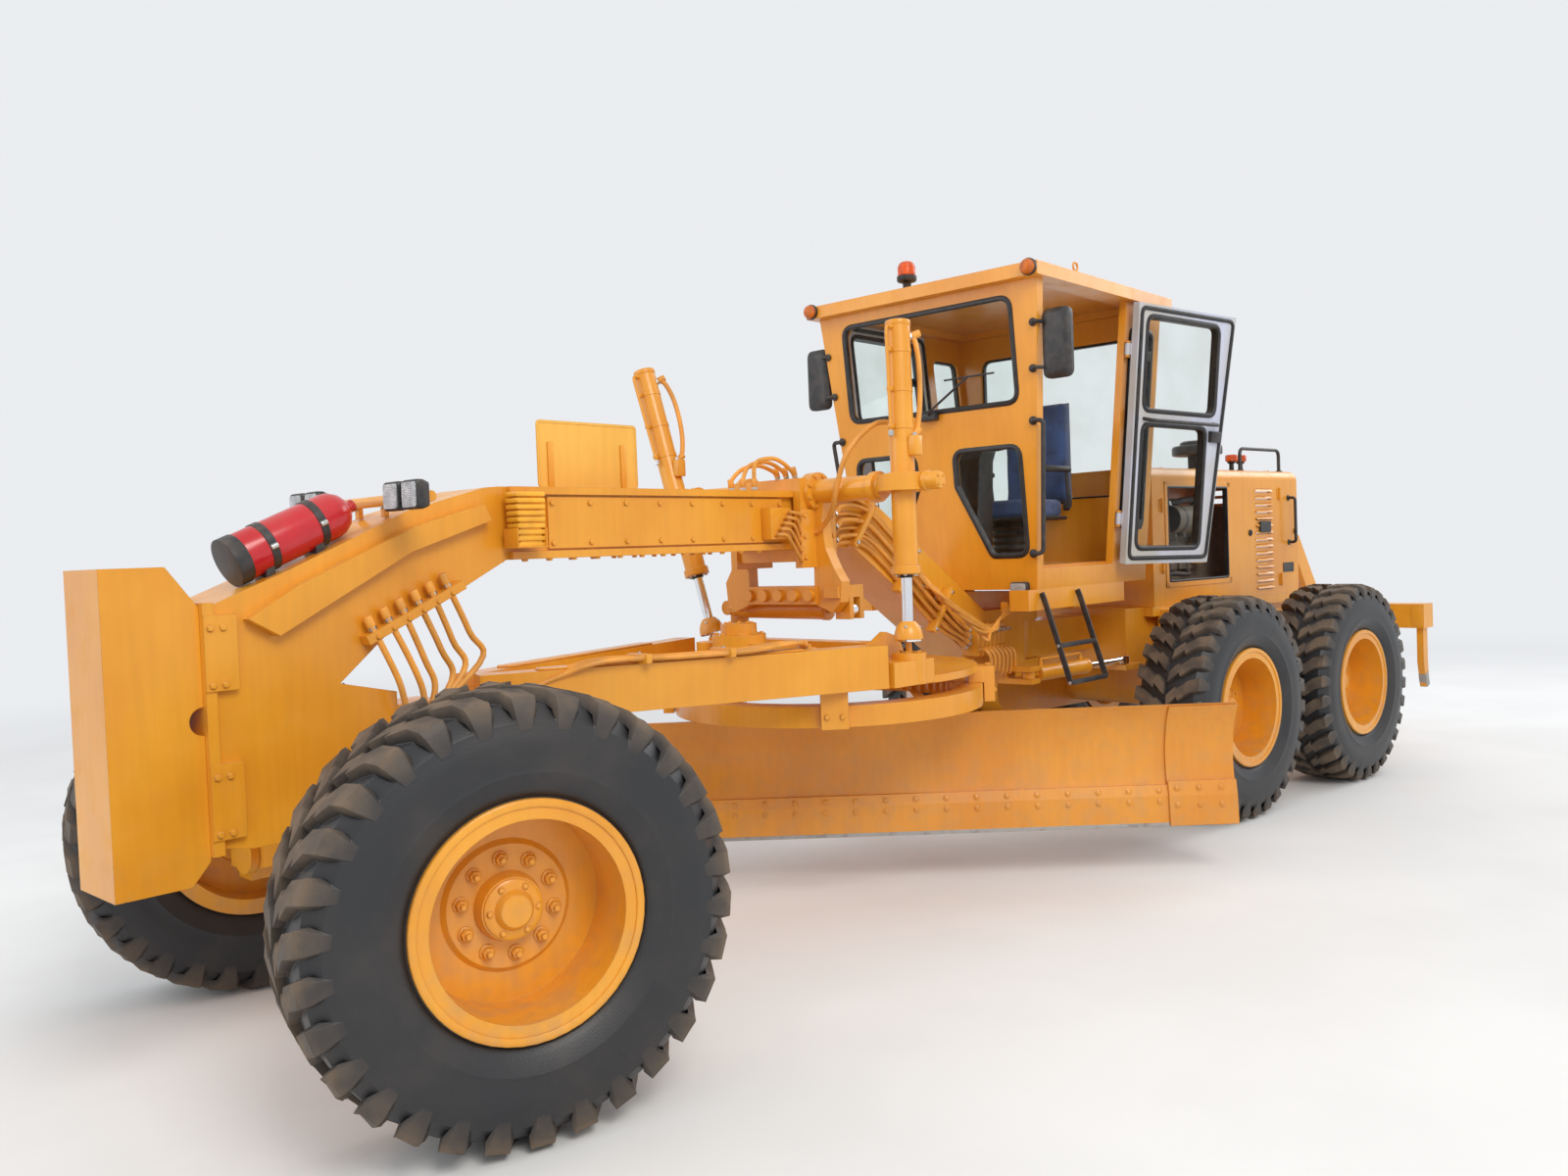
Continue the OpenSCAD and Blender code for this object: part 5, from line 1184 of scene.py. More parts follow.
class GRADER_OT_hoses(bpy.types.Operator):
    """Hydraulic hoses, pipes, clamps and valves"""

    bl_idname = "grader.hoses"
    bl_label = "Hoses and valves"

    def execute(self, context):
        r = sizes().hose_radius
        rng = random.Random(11)
        shape = Shape(FRONT)
        # Bundle down the left of the frame's rear leg, from the saddle to the valve bank
        for i in range(7):
            y = 0.152 + r + 0.026 * (i % 2)
            lift = 0.036 * (i - 3)
            wave = [rng.uniform(-0.006, 0.006) for _ in range(6)]
            points = [(-2.47, y + 0.03, 1.8 + lift * 0.9), (-2.56, y + 0.012, 1.835 + lift + wave[0]),
                      (-2.76, y, 1.815 + lift + wave[1]), (-2.98, y, 1.67 + lift + wave[2]),
                      (-3.22, y, 1.47 + lift + wave[3]), (-3.42, y + 0.004, 1.31 + lift * 0.8 + wave[4]),
                      (-3.55, y + 0.014, 1.22 + lift * 0.5 + wave[5]), (-3.63, y + 0.03, 1.17 + lift * 0.5)]
            hose_run(shape, points, r * (0.85 if i % 3 else 1.05))
        # Loops over the beam's end to the saddle, and drooping lines in front of the cab's foot
        for i in range(3):
            y = 0.06 + 0.045 * i
            hose_run(shape, [(-1.92 - 0.03 * i, y, 1.984), (-1.92 - 0.03 * i, y, 2.03),
                             (-1.99, y + 0.005, 2.085 + 0.012 * i),
                             (-2.09, y + 0.012, 2.105 + 0.014 * i), (-2.17, y + 0.016, 2.088 + 0.012 * i),
                             (-2.215 - 0.012 * i, y + 0.018, 2.064), (-2.225 - 0.012 * i, y + 0.018, 2.043)], r * 0.8)
        for i in range(5):
            x = -3.05 - 0.11 * i
            drop = 0.1 + 0.02 * i
            hose_run(shape, [(x, 0.165, 1.7 - 0.62 * (-x - 2.9)), (x - 0.02, 0.235, 1.69 - 0.62 * (-x - 2.9)),
                             (x - 0.1, 0.31 + 0.01 * i, 1.6 - 0.62 * (-x - 2.9) - drop * 0.4),
                             (-3.62, 0.36, 1.25 - drop * 0.3),
                             (-3.7, 0.37, 1.262), (-3.76, 0.365, 1.285), (-3.79 - 0.012 * i, 0.36, 1.31)], r * 0.8)
        shape.block((-3.87, 0.335, 1.3), (-3.775, 0.385, 1.36), "frame", 0.006)
        for at in ((-2.74, 1.82), (-3.1, 1.57), (-3.4, 1.335)):
            turn = Matrix.Translation((at[0], 0.151, at[1])) @ Matrix.Rotation(radians(-40), 4, "Y")
            shape.block((-0.016, 0, -0.15), (0.016, 0.062, 0.15), "frame", 0.006, turn)
            for z in (-0.125, 0.125):
                shape.hexagon(eased(0.011, 0.006, 0.009, 0.008), turn @ Vector((0, 0.062, z)), Y, "zinc")
        # Valve bank: a stack of sections with ports and spools
        for i in range(7):
            x = -3.66 - 0.042 * i
            shape.block((x - 0.019, 0.152, 1.06), (x + 0.019, 0.262, 1.235), "frame", 0.005)
            shape.lathe([(0.014, 0), (0.014, 0.02), (0.009, 0.024), (0.009, 0.05)], (x, 0.262, 1.2), Y, "zinc", 12)
            shape.hexagon(eased(0.016, 0.018, 0.013, 0.02), (x, 0.262, 1.1), Y, "frame")
            hose_run(shape, [(x, 0.28, 1.1), (x, 0.31, 1.09), (x - 0.01, 0.33, 1.05),
                             (x - 0.03, 0.31, 0.98 - 0.006 * i),
                             (x - 0.08, 0.26, 0.945), (x - 0.12, 0.205, 0.94)], r * 0.75, "hose", False)
        shape.block((-3.95, 0.151, 1.035), (-3.63, 0.18, 1.06), "frame", 0.004)
        # Bundle under the gooseneck towards the front axle
        low, high = Vector((0.0, 0.176, 1.452)), Vector((-0.345, 0.176, 1.608))
        along = (high - low).normalized()
        across = Vector((-along.z, 0, along.x))
        corners = [low + along * a + across * c for a,
                   c in ((-0.03, -0.016), (0.4, -0.016), (0.4, 0.018), (-0.03, 0.018))]
        shape.sheet([c + Vector((0, -0.027, 0)) for c in corners], Vector((0, 0.052, 0)), "frame")
        for i in range(6):
            top = low + along * (0.012 + 0.066 * i) + Vector((0, 0.006, 0))
            x = 0.02 + 0.034 * i
            sway = rng.uniform(-0.012, 0.012)
            points = [top - across * 0.018, top - across * 0.06, top + Vector((-0.055 + sway, 0.026, -0.15)),
                      top + Vector((-0.085 + sway, 0.036, -0.27)), Vector((-0.17 + 0.03 * i, 0.226, 1.06)),
                      Vector((x - 0.06, 0.212, 0.93)), Vector((x - 0.05, 0.19 + r, 0.85))]
            hose_run(shape, points, r * 0.9)
            shape.hex_bolt(top + across * 0.006 + Vector((0, 0.0185, 0)), (0, 1, 0), 0.01, "frame")
        # Hose from the beam's end over the saddle's arm to the left lift cylinder's collar
        hose_run(shape, [(-2.29, 0.155, 1.772), (-2.295, 0.2, 1.775), (-2.3, 0.27, 1.79), (-2.27, 0.37, 1.87),
                         (-2.245, 0.43, 1.99), (-2.27, 0.465, 2.12), (-2.33, 0.5, 2.21), (-2.39, 0.565, 2.275),
                         (-2.43, 0.635, 2.26), (-2.44, 0.665, 2.16), (-2.415, 0.675, 2.02)], r)
        shape.block((-0.06, 0.15, 0.822), (0.19, 0.215, 0.85), "frame", 0.005)
        shape.done("frame_hoses", "front_frame")
        # Lines along the drawbar to the circle's motor
        shape = Shape(DRAWBAR)
        for i in range(4):
            off = 0.03 * i
            points = [(-0.62, 0.1 + off * 0.4, 1.1655 + 0.012), (-0.75, 0.145 + off * 0.6, 1.235),
                      (-0.92, 0.205 + off, 1.288),
                      (-1.2, 0.3 + off, 1.284), (-1.5, 0.415 + off, 1.286), (-1.7, 0.475 + off * 0.6, 1.3),
                      (-1.83, 0.47 + off * 0.3, 1.29), (-1.885 + 0.01 * i, 0.45, 1.275)]
            hose_run(shape, points, r * 0.85)
        for x, y in ((-1.08, 0.259), (-1.42, 0.384)):
            shape.block((x - 0.015, y - 0.022, 1.2655), (x + 0.015, y + 0.112, 1.305), "frame", 0.005)
            shape.hex_bolt((x, y + 0.045, 1.3045), Z, 0.008, "zinc")
        # Motor of the circle drive: ribbed housing and end plate
        shape.lathe([(0.0625, 0.004), (0.068, 0.008), (0.068, 0.024), (0.063, 0.028), (0.063, 0.05), (0.0665, 0.052),
                     (0.0665, 0.06), (0.063, 0.062), (0.063, 0.146), (0.055, 0.153)], (DRIVE_X, 0.33, 1.205), Y,
                     "frame", 36)
        shape.screw_ring(Vector((DRIVE_X, 0.481, 1.205)), X, Z, 0.045, turns(6), Y, 0.008, "frame")
        for z, radius, size in ((1.3152, 0.105, 0.011), (1.3652, 0.06, 0.009)):
            shape.screw_ring(Vector((DRIVE_X, 0, z)), X, Y, radius, turns(8), Z, size, "frame")
        shape.done("drawbar_lines", "drawbar")
        return {"FINISHED"}


class GRADER_OT_blade(bpy.types.Operator):
    """Bolts of the cutting edge and end bits, circle teeth, ball caps and wear plates"""

    bl_idname = "grader.blade"
    bl_label = "Blade gear details"

    def execute(self, context):
        def plow(shape):
            shape.lathe(eased(0.0155, 0.0022, 0.013, 0.0035), (0, 0, 0), Z, "frame", 24)
            shape.lathe([(0.0105, 0.003), (0.0105, 0.0052), (0.0085, 0.006)], (0, 0, 0), Z, "frame", 4, smooth=False)

        part = part_mesh("plow_bolt", plow)
        z0 = 0.25
        face = Vector((150, 0, 14)).normalized()
        upper = Vector((52, 0, 16)).normalized()
        places = []
        for i in range(20):
            y = -1.444 + 0.152 * i
            places += spread(BLADE, [(0.0208, y, z0 + 0.121)], face, Y)
            places += spread(BLADE, [(0.0105, y, z0 + 0.1745)], upper, Y)
        for hand in (1, -1):
            for y in (1.53, 1.64, 1.75):
                places += spread(BLADE, [(0.0372, y * hand, z0 + 0.104), (0.0238, y * hand, z0 + 0.1853)], face,
                                 (0, 1, 0))
        repeat("edge_bolts", "moldboard", part, places, "blade")
        shape = Shape(BLADE)
        # Nuts behind the edge, ribs on the sheet's back, and the worn lip of the edge
        for i in range(20):
            y = -1.444 + 0.152 * i
            shape.hexagon(eased(0.017, 0.014, 0.014, 0.017), (-0.0262, y, z0 + 0.125), (-1, 0, 0), "blade")
        worn = ((0.0245, 0.0005), (0.0325, 0.0005), (0.0312, 0.018), (0.0245, 0.016))
        shape.loft([[Vector((x, -1.826 + 3.652 * i / 60, z0 + z)) for x, z in worn] for i in range(61)], "steel")
        for hand in (1, -1):
            y = 1.822 * hand
            outline = []
            for k in range(9):
                z = z0 + 0.2 + 0.39 * k / 8
                deep = 0.41 - sqrt(max(0.0, 0.446 ** 2 - (z - 0.585) ** 2))
                outline.append((deep - 0.024, z))
            outline += [(x + 0.022, z) for x, z in reversed(outline)]
            shape.plate(outline, upright(y - 0.003), 0.006, "blade", 0.002)
        shape.done("blade_wear", "moldboard")

        def tooth(shape):
            outline = ((0.008, -0.017), (-0.016, -0.008), (-0.016, 0.008), (0.008, 0.017))
            shape.loft([[Vector((x, y, z)) for x, y in outline] for z in (0, 0.078)], "frame", smooth=False)

        # Teeth round the inside of the circle, their tips towards its middle
        teeth = part_mesh("circle_tooth", tooth)
        radius = 0.765 - 0.11
        places = []
        for a in turns(64):
            out = (cos(a), sin(a), 0)
            places += spread(CIRCLE, [(radius * out[0], radius * out[1], 0.9185)], (0, 0, 1), out)
        repeat("circle_teeth", "turn_circle", teeth, places, "frame")
        # Bolts round the circle and the lift cylinders' feet, rub plates and a steel cap
        shape = Shape(DRAWBAR)
        for a in (45, 135, 225, 315):
            turn = Matrix.Translation((CIRCLE_X, 0, 0)) @ Matrix.Rotation(radians(a), 4, "Z")
            for y in (-0.034, 0.034):
                at = turn @ Vector((0.826, y, 0.965))
                shape.hex_bolt(at, turn.to_3x3() @ X, 0.012, "frame")
            for x in (0.715, 0.8):
                shape.hex_bolt(turn @ Vector((x, 0, 1.0858)), Z, 0.014, "frame")
        for hand in (1, -1):
            shape.screw_ring(Vector((LIFT_X, 0.67 * hand, 1.2152)), X, Y, 0.052, turns(6, 0.5), Z, 0.009, "frame")
            leg = Matrix.Translation((-0.5, 0.04 * hand, 0)) @ Matrix.Rotation(radians(180 - 21 * hand), 4, "Z")
            # Rub plate along the top of each leg
            side = [(0.25, -0.043), (1.35, -0.043), (1.37, -0.03), (1.37, 0.03), (1.35, 0.043), (0.25, 0.043),
                    (0.23, 0.03), (0.23, -0.03)]
            shape.plate(side, leg @ Matrix.Translation((0, 0, 1.2652)), 0.008, "frame", 0.003)
        shape.lathe(eased(0.066, 0.006, 0.062, 0.009), (-0.475, 0, 1.06), X, "steel", 28)
        shape.done("drawbar_fittings", "drawbar")
        return {"FINISHED"}


class GRADER_OT_cylinders(bpy.types.Operator):
    """Glands, heads, pipes and grease points of the hydraulic cylinders"""

    bl_idname = "grader.cylinders"
    bl_label = "Cylinder details"

    def execute(self, context):
        r = sizes().hose_radius
        for side, label in SIDES:
            top = Vector((LIFT_X, 0.75 * side, LIFT_Z))
            foot = BALL + Matrix.Rotation(-YAW_REST, 3, "Z") @ Vector((LIFT_X - BALL.x, 0.67 * side, 0.177))
            axis = (foot - top).normalized()
            shape = Shape(FRONT)
            # Head cap with its welded boss, gland with its bolts
            shape.collar(0.0565, 0.0585, 0.025, top - axis * 0.7395, axis, "frame", 40, 0.003)
            shape.lathe([(0.04, 0), (0.0385, 0.0045), (0.02, 0.0085), (0.008, 0.009)], top - axis * 0.7395, -axis,
                        "frame", 28)
            shape.collar(0.0643, 0.0665, 0.037, top + axis * 0.382, axis, "frame", 40, 0.003)
            cross = axis.cross(X).normalized()
            other = axis.cross(cross).normalized()
            shape.screw_ring(top + axis * 0.4203, cross, other, 0.049, turns(6), axis, 0.0075, "zinc")
            shape.lathe([(0.0275, 0), (0.031, 0.002), (0.031, 0.01), (0.0275, 0.014)], top + axis * 0.4205, axis,
                        "seal", 28)
            # Pipe from the upper port down the barrel, with its clamps, and the hose loop at the head
            out = (X - axis * axis.x).normalized()
            p, q = top - axis * 0.705 + out * 0.055, top - axis * 0.22 + out * 0.078
            route = [p, p + out * 0.032, p + out * 0.034 + axis * 0.04, q]
            shape.bent(route, 0.025, 0.008, "frame", 10)
            shape.hexagon(eased(0.015, 0.016, 0.011, 0.019), p - out * 0.004, out, "frame")
            for at in (-0.6, -0.42, -0.25):
                clamp = top + axis * at
                shape.lathe([(0.0562, -0.011), (0.0583, -0.01), (0.0583, 0.01), (0.0562, 0.011)], clamp, axis, "frame",
                            36)
                shape.block((-0.013, -0.011, -0.011), (0.013, 0.011, 0.011), "frame", 0.004,
                            Matrix.Translation(clamp + out * 0.076))
            shape.hexagon([(0.0125, -0.01), (0.0125, 0.014), (0.01, 0.016)], q, axis, "zinc")
            # Grease nipple and lock valve on the collar's upper side
            shape.block((-0.028, -0.022, -0.045), (0.028, 0.022, 0.045), "frame", 0.006,
                        Matrix.Translation(top - axis * 0.16 - cross * 0.074))
            shape.hexagon(eased(0.01, 0.018, 0.008, 0.02), top - axis * 0.2 - cross * 0.074, -axis, "zinc")
            # Supply hose: out of the head, over in a free arc and back to the barrel above the collar
            reach = 0.35 if side > 0 else 0.6
            way = Vector((-0.67, 0.74, 0))
            way = (way - axis * way.dot(axis)).normalized()
            arc = [(0.665, 0.05), (0.667, 0.085), (0.635, 0.13), (0.545, 0.163), (0.43, 0.168), (0.32, 0.148),
                   (0.235, 0.105), (0.205, 0.05)]
            hose_run(shape, [top - axis * along + way * (0.05 + (off - 0.05) * reach) for along, off in arc], r, "hose")
            shape.done("lift_details_" + label, "lift_barrel_" + label)
            shape = Shape(FRONT)
            # Painted cap over the eye, with its clamp screws
            shape.lathe([(0.0345, -0.078), (0.05, -0.06), (0.061, -0.036), (0.0655, -0.012), (0.066, 0.004),
                         (0.0632, 0.0055)],
                        foot, axis, "frame", 32, False)
            for a in (0.4, 2.0, 3.6, 5.2):
                side_way = axis.cross(Vector((cos(a), sin(a), 0.2))).normalized()
                shape.hex_bolt(foot - axis * 0.052 + side_way * 0.05, (side_way - axis * 0.8).normalized(), 0.0075,
                               "zinc")
            shape.lathe([(0.0255, 0), (0.032, 0.004), (0.034, 0.02), (0.03, 0.028)], foot - axis * 0.078, axis,
                        "chrome", 24)
            shape.done("lift_eye_" + label, "lift_rod_" + label)
        # Outer ends of the saddle's arms, with their bolted caps
        shape = Shape(FRONT)
        for hand in (1, -1):
            end = Vector((LIFT_X, 0.845 * hand, LIFT_Z))
            way = Vector((0, hand, 0))
            shape.lathe([(0.03, -0.012), (0.04, -0.004), (0.0415, 0.0), (0.0415, 0.1), (0.0375, 0.11), (0.012, 0.112)],
                        end, way, "frame", 36)
            shape.lathe([(0.0415, 0.028), (0.047, 0.031), (0.047, 0.046), (0.0415, 0.049)], end, way, "frame", 36)
            shape.screw_ring(end + way * 0.1105, X, Z, 0.026, turns(4, 0.5), way, 0.0065, "frame")
        shape.done("saddle_ends", "front_frame")
        for side, label in SIDES:
            base = Vector((-3.95, 0.4 * side, 0.93))
            tip = HITCH + Matrix.Rotation(-ARTIC_REST, 3, "Z") @ (Vector((-5.01, 0.43 * side, 0.93)) - HITCH)
            axis = (tip - base).normalized()
            shape = Shape(FRONT)
            shape.collar(0.0453, 0.0485, 0.03, base + axis * 0.556, axis, "frame")
            shape.collar(0.0453, 0.0475, 0.018, base + axis * 0.077, axis, "frame")
            shape.collar(0.0215, 0.025, 0.01, base + axis * 0.5905, axis, "seal", 24)
            for at in (0.12, 0.53):
                port = base + axis * at + Z * 0.04
                shape.hexagon([(0.013, 0), (0.013, 0.018), (0.01, 0.021), (0.01, 0.03)], port, Z, "frame")
            route = ((0.12, 0.068), (0.12, 0.082), (0.53, 0.082), (0.53, 0.068))
            pipe = [base + axis * along + Z * up for along, up in route]
            shape.bent(pipe, 0.015, 0.007, "frame", 8)
            shape.done("artic_details_" + label, "artic_barrel_" + label)
        # Blade centre-shift cylinder
        a, b = Vector((-2.43, 0.33, 1.4)), Vector((-2.43, -0.49, 1.405))
        axis, length = (b - a).normalized(), (b - a).length
        shape = Shape(FRONT)
        for at in (0.132, length - 0.094):
            shape.collar(0.0523, 0.0555, 0.032, a + axis * at, axis, "frame")
            port = a + axis * (at + 0.05) + Z * 0.047
            shape.hexagon([(0.012, 0), (0.012, 0.012), (0.009, 0.015), (0.009, 0.021)], port, Z, "zinc")
        shape.done("centre_details", "centre_barrel")
        # Ripper cylinder
        a, b = Vector((-7.72, 0, 1.17)), Vector((-8.1, 0, 1.62))
        axis = (b - a).normalized()
        up = Y.cross(axis)
        shape = Shape(REAR)
        for at in (0.082, 0.405):
            shape.collar(0.0503, 0.0535, 0.032, a + axis * at, axis, "frame")
        for at in (0.14, 0.38):
            shape.hexagon(eased(0.012, 0.014, 0.009, 0.018), a + axis * at + up * 0.046, up, "zinc")
        route = ((0.14, 0.058), (0.14, 0.074), (0.38, 0.074), (0.38, 0.058))
        pipe = [a + axis * along + up * out for along, out in route]
        shape.bent(pipe, 0.012, 0.007, "frame", 8)
        shape.done("ripper_details", "ripper_barrel")
        return {"FINISHED"}


class GRADER_OT_rear(bpy.types.Operator):
    """Hood catches, handles, intake dome, lamps, panels, exhaust side and ripper tips"""

    bl_idname = "grader.rear"
    bl_label = "Rear body details"

    def execute(self, context):
        top = HOOD_Z
        shape = Shape(REAR)
        # Air intake: a ribbed dome over a mesh collar
        dome = (-6.45, 0.15, top)
        shape.lathe([(0.069, 0), (0.069, 0.012), (0.06, 0.018), (0.06, 0.112), (0.069, 0.118), (0.15, 0.12),
                     (0.172, 0.126),
                     (0.1745, 0.136), (0.1745, 0.176), (0.168, 0.188), (0.15, 0.193), (0.119, 0.195), (0.117, 0.214),
                     (0.1, 0.2255), (0.06, 0.2285), (0.012, 0.2295)], dome, Z, "black", 48)
        for a in turns(24):
            x, y = dome[0] + 0.0605 * cos(a), dome[1] + 0.0605 * sin(a)
            shape.block((x - 0.004, y - 0.004, top + 0.02), (x + 0.004, y + 0.004, top + 0.112), "black", 0.001)
        shape.lathe(eased(0.01, 0.008, 0.006, 0.01), (dome[0], dome[1] + 0.1755, top + 0.155), (0, -1, 0), "zinc", 6)
        # Two marker lamps on black stalks
        for x in (-6.79, -6.92):
            shape.lathe([(0.0315, 0), (0.0315, 0.006), (0.018, 0.014), (0.016, 0.06), (0.03, 0.07), (0.0315, 0.088)],
                        (x, 0.23, top), Z, "black", 28)
            shape.lathe([(0.036, 0.08), (0.0435, 0.083), (0.0435, 0.118), (0.04, 0.126), (0.028, 0.1295)],
                        (x, 0.23, top),
                        (0, 0, 1), "orange", 32)
        # Handrail along the top edge
        z = top + 0.16
        shape.bent([(-6.66, 0.365, top), (-6.66, 0.365, z), (-7.24, 0.365, z), (-7.24, 0.365, top)], 0.05, 0.0125,
                   "black", 12)
        for x in (-6.66, -7.24):
            shape.lathe(eased(0.026, 0.005, 0.015, 0.009), (x, 0.365, top), Z, "black", 20)
        shape.done("hood_fittings", "rear_frame", ("hood_trim",))
        shape = Shape(REAR)
        for hand in (1, -1):
            y = HOOD_Y * hand

            def panel(x0, x1, z0, z1, thick, name, radius):
                shape.panel(1, y, (x0, z0, x1 - x0, z1 - z0), radius, thick * hand, name)

            # Door frame round the open bay, its beads, slats of the grille and their blank plate
            for x0, x1, z0, z1 in ((-6.34, -5.5, 1.36, 1.395), (-6.34, -5.5, 2.025, 2.055),
                                   (-6.34, -6.305, 1.36, 2.055), (-5.535, -5.5, 1.36, 2.055)):
                panel(x0, x1, z0, z1, 0.005, "cab", 0.004)
            bay = [Vector((x, y + 0.001 * hand, z)) for x, z in rounded_rect(-6.3, 1.4, 0.76, 0.62, 0.02)]
            shape.band(bay, Vector((0, hand, 0)),
                       [(-0.006, -0.028), (-0.006, 0.004), (0.0, 0.007), (0.008, 0.004), (0.008, 0)], "seal")
            for i in range(15):
                z = 1.29 + i * 0.05
                blade = [Vector((x, y + out * hand, z + rise)) for x, out, rise in (
                    (-6.945, -0.004, 0.024), (-6.705, -0.004, 0.024), (-6.705, 0.013, 0.006), (-6.945, 0.013, 0.006))]
                shape.loft([[p - Z * 0.003 for p in blade], blade], "cab", smooth=False)
            panel(-6.9, -6.75, 1.7, 1.78, 0.0165, "black", 0.008)
            # Rear corner panel with its black handrail, hinges and catches
            x = -7.2
            shape.bent([(x, y, 1.62), (x, y + 0.055 * hand, 1.62), (x, y + 0.055 * hand, 1.95), (x, y, 1.95)], 0.03,
                       0.011, "black", 12)
            for z in (1.62, 1.95):
                shape.lathe(eased(0.022, 0.004, 0.014, 0.008), (x, y, z), (0, hand, 0), "black", 16)
            panel(-7.26, -7.1, 1.4, 1.47, 0.004, "black", 0.008)
            for x, z in ((-5.46, 1.5), (-5.46, 1.9), (-7.06, 1.35), (-7.06, 1.98)):
                shape.lathe([(0.009, -0.045), (0.009, 0.045)], (x, y + 0.009 * hand, z), Z, "cab", 14)
                panel(x - 0.03, x + 0.03, z - 0.04, z + 0.04, 0.003, "cab", 0.006)
            for x, z in ((-6.62, 1.7), (-7.3, 1.7)):
                shape.lathe(eased(0.024, 0.005, 0.019, 0.008), (x, y, z), (0, hand, 0), "black", 24)
                shape.block((x - 0.006, y, z - 0.017), (x + 0.006, y + 0.016 * hand, z + 0.017), "black", 0.003)
            # Ledge box lid with its latch
            for x0 in (-6.03, -5.73):
                shape.panel(1, 0.5602 * hand, (x0, 1.07, 0.28, 0.13), 0.012, 0.004 * hand, "frame")
                shape.block((x0 + 0.12, 0.5642 * hand - 0.004, 1.12), (x0 + 0.16, 0.5642 * hand + 0.008, 1.15), "black",
                            0.003)
        # Ribs of the hood's top, filler caps and seam beads
        for x in (-5.62, -6.05, -7.08):
            shape.tube([(x, -0.37, top + 0.0002), (x, 0.37, top + 0.0002)], 0.006, "cab", 8)
        shape.lathe([(0.045, 0), (0.045, 0.02), (0.04, 0.026), (0.012, 0.028)], (-5.85, -0.12, top), Z, "black", 32)
        shape.lathe([(0.038, 0), (0.038, 0.018), (0.03, 0.024), (0.01, 0.026)], (-7.18, 0.0, top), Z, "black", 32)
        shape.curved([(-6.12, -0.22, 2.15), (-6.12, -0.22, 2.25), (-6.12, -0.22, 2.42), (-6.13, -0.22, 2.5)], 4, 0.042,
                   "iron", 24)
        shape.lathe(eased(0.05, 0.01, 0.046, 0.013), (-6.12, -0.22, top), Z, "iron", 28)
        # Tail lamps at the back wall
        for hand in (1, -1):
            shape.block((BACK_X, 0.36 * hand - 0.04, 1.9), (-7.3405, 0.36 * hand + 0.04, 2.02), "black", 0.004)
            for z, name in ((1.906, "orange"), (1.962, "lamp_red")):
                shape.panel(0, BACK_X, (0.36 * hand - 0.034, z, 0.068, 0.05), 0.008, -0.004, name)
        shape.done("hood_details", "rear_frame")
        # Engine side seen through the bays: cover bolts, pipes, filter and air cleaner bands
        shape = Shape(REAR)
        shape.collar(0.0955, 0.0975, 0.028, (-6.1, 0.32, 1.81), X, "zinc", 40)
        shape.collar(0.0955, 0.0975, 0.024, (-5.86, 0.32, 1.81), X, "black", 40)
        shape.lathe([(0.09, 0), (0.072, 0.006), (0.05, 0.01), (0.02, 0.02)], (-5.76, 0.32, 1.81), X, "black", 40)
        for x in (-6.22, -5.66):
            shape.lathe([(0.052, 0), (0.056, 0.004), (0.056, 0.15), (0.048, 0.158)], (x, 0.26, 1.5), Z, "sign", 32)
            shape.lathe([(0.058, 0.15), (0.058, 0.185), (0.03, 0.19)], (x, 0.26, 1.5), Z, "iron", 32)
        for i in range(6):
            x = -6.2 + 0.115 * i
            shape.block((x - 0.045, 0.2005, 1.46), (x + 0.045, 0.232, 1.6), "iron", 0.014)
            shape.hex_bolt((x, 0.232, 1.53), (0, 1, 0), 0.009, "zinc")
            shape.curved([(x, 0.205, 1.66), (x, 0.245, 1.68), (x + 0.02, 0.25, 1.74), (x + 0.03, 0.215, 1.79)], 4,
                       0.0045, "zinc", 8)
        hose_run(shape, [(-6.24, 0.21, 1.86), (-6.2, 0.26, 1.92), (-6.1, 0.3, 1.945), (-5.95, 0.3, 1.935),
                         (-5.85, 0.26, 1.915)],
                 0.022, "black_hose")
        hose_run(shape, [(-5.62, 0.21, 1.45), (-5.66, 0.29, 1.43), (-5.8, 0.33, 1.44), (-6.0, 0.32, 1.43),
                         (-6.15, 0.22, 1.45)],
                 0.016, "black_hose")
        shape.done("engine_details", "rear_frame")

        shape = Shape(REAR)
        for i in range(5):
            y = (i - 2) * 0.44
            shape.block((-8.5905, y - 0.045, 0.915), (-8.405, y + 0.045, 1.075), "frame", 0.008)
            for x in (-8.545, -8.455):
                shape.hex_bolt((x, y, 1.0745), Z, 0.014, "frame")
            # Replaceable point over the shank's toe
            rings = []
            for t, w in ((0.0, 0.0275), (0.5, 0.03), (1.0, 0.0275)):
                corners = ((0, -w, -0.002), (0, w, -0.002), (0.03, w, 0.1), (0.03, -w, 0.1))
                rings.append([Vector((-8.512 - 0.052 * t, y, 0.4285 + 0.022 * t)) + Vector(c) for c in corners])
            shape.loft(rings, "steel", smooth=False)
            shape.lathe([(0.012, -0.031), (0.012, 0.031)], (-8.508, y, 0.5), Y, "steel", 14)
        for hand in (1, -1):
            shape.lathe(eased(0.044, 0.008, 0.032, 0.012), (-7.76, 0.3502 * hand, 0.9), (0, hand, 0), "frame", 28)
        shape.done("ripper_fittings", "ripper")
        shape = Shape(REAR)
        for hand in (1, -1):
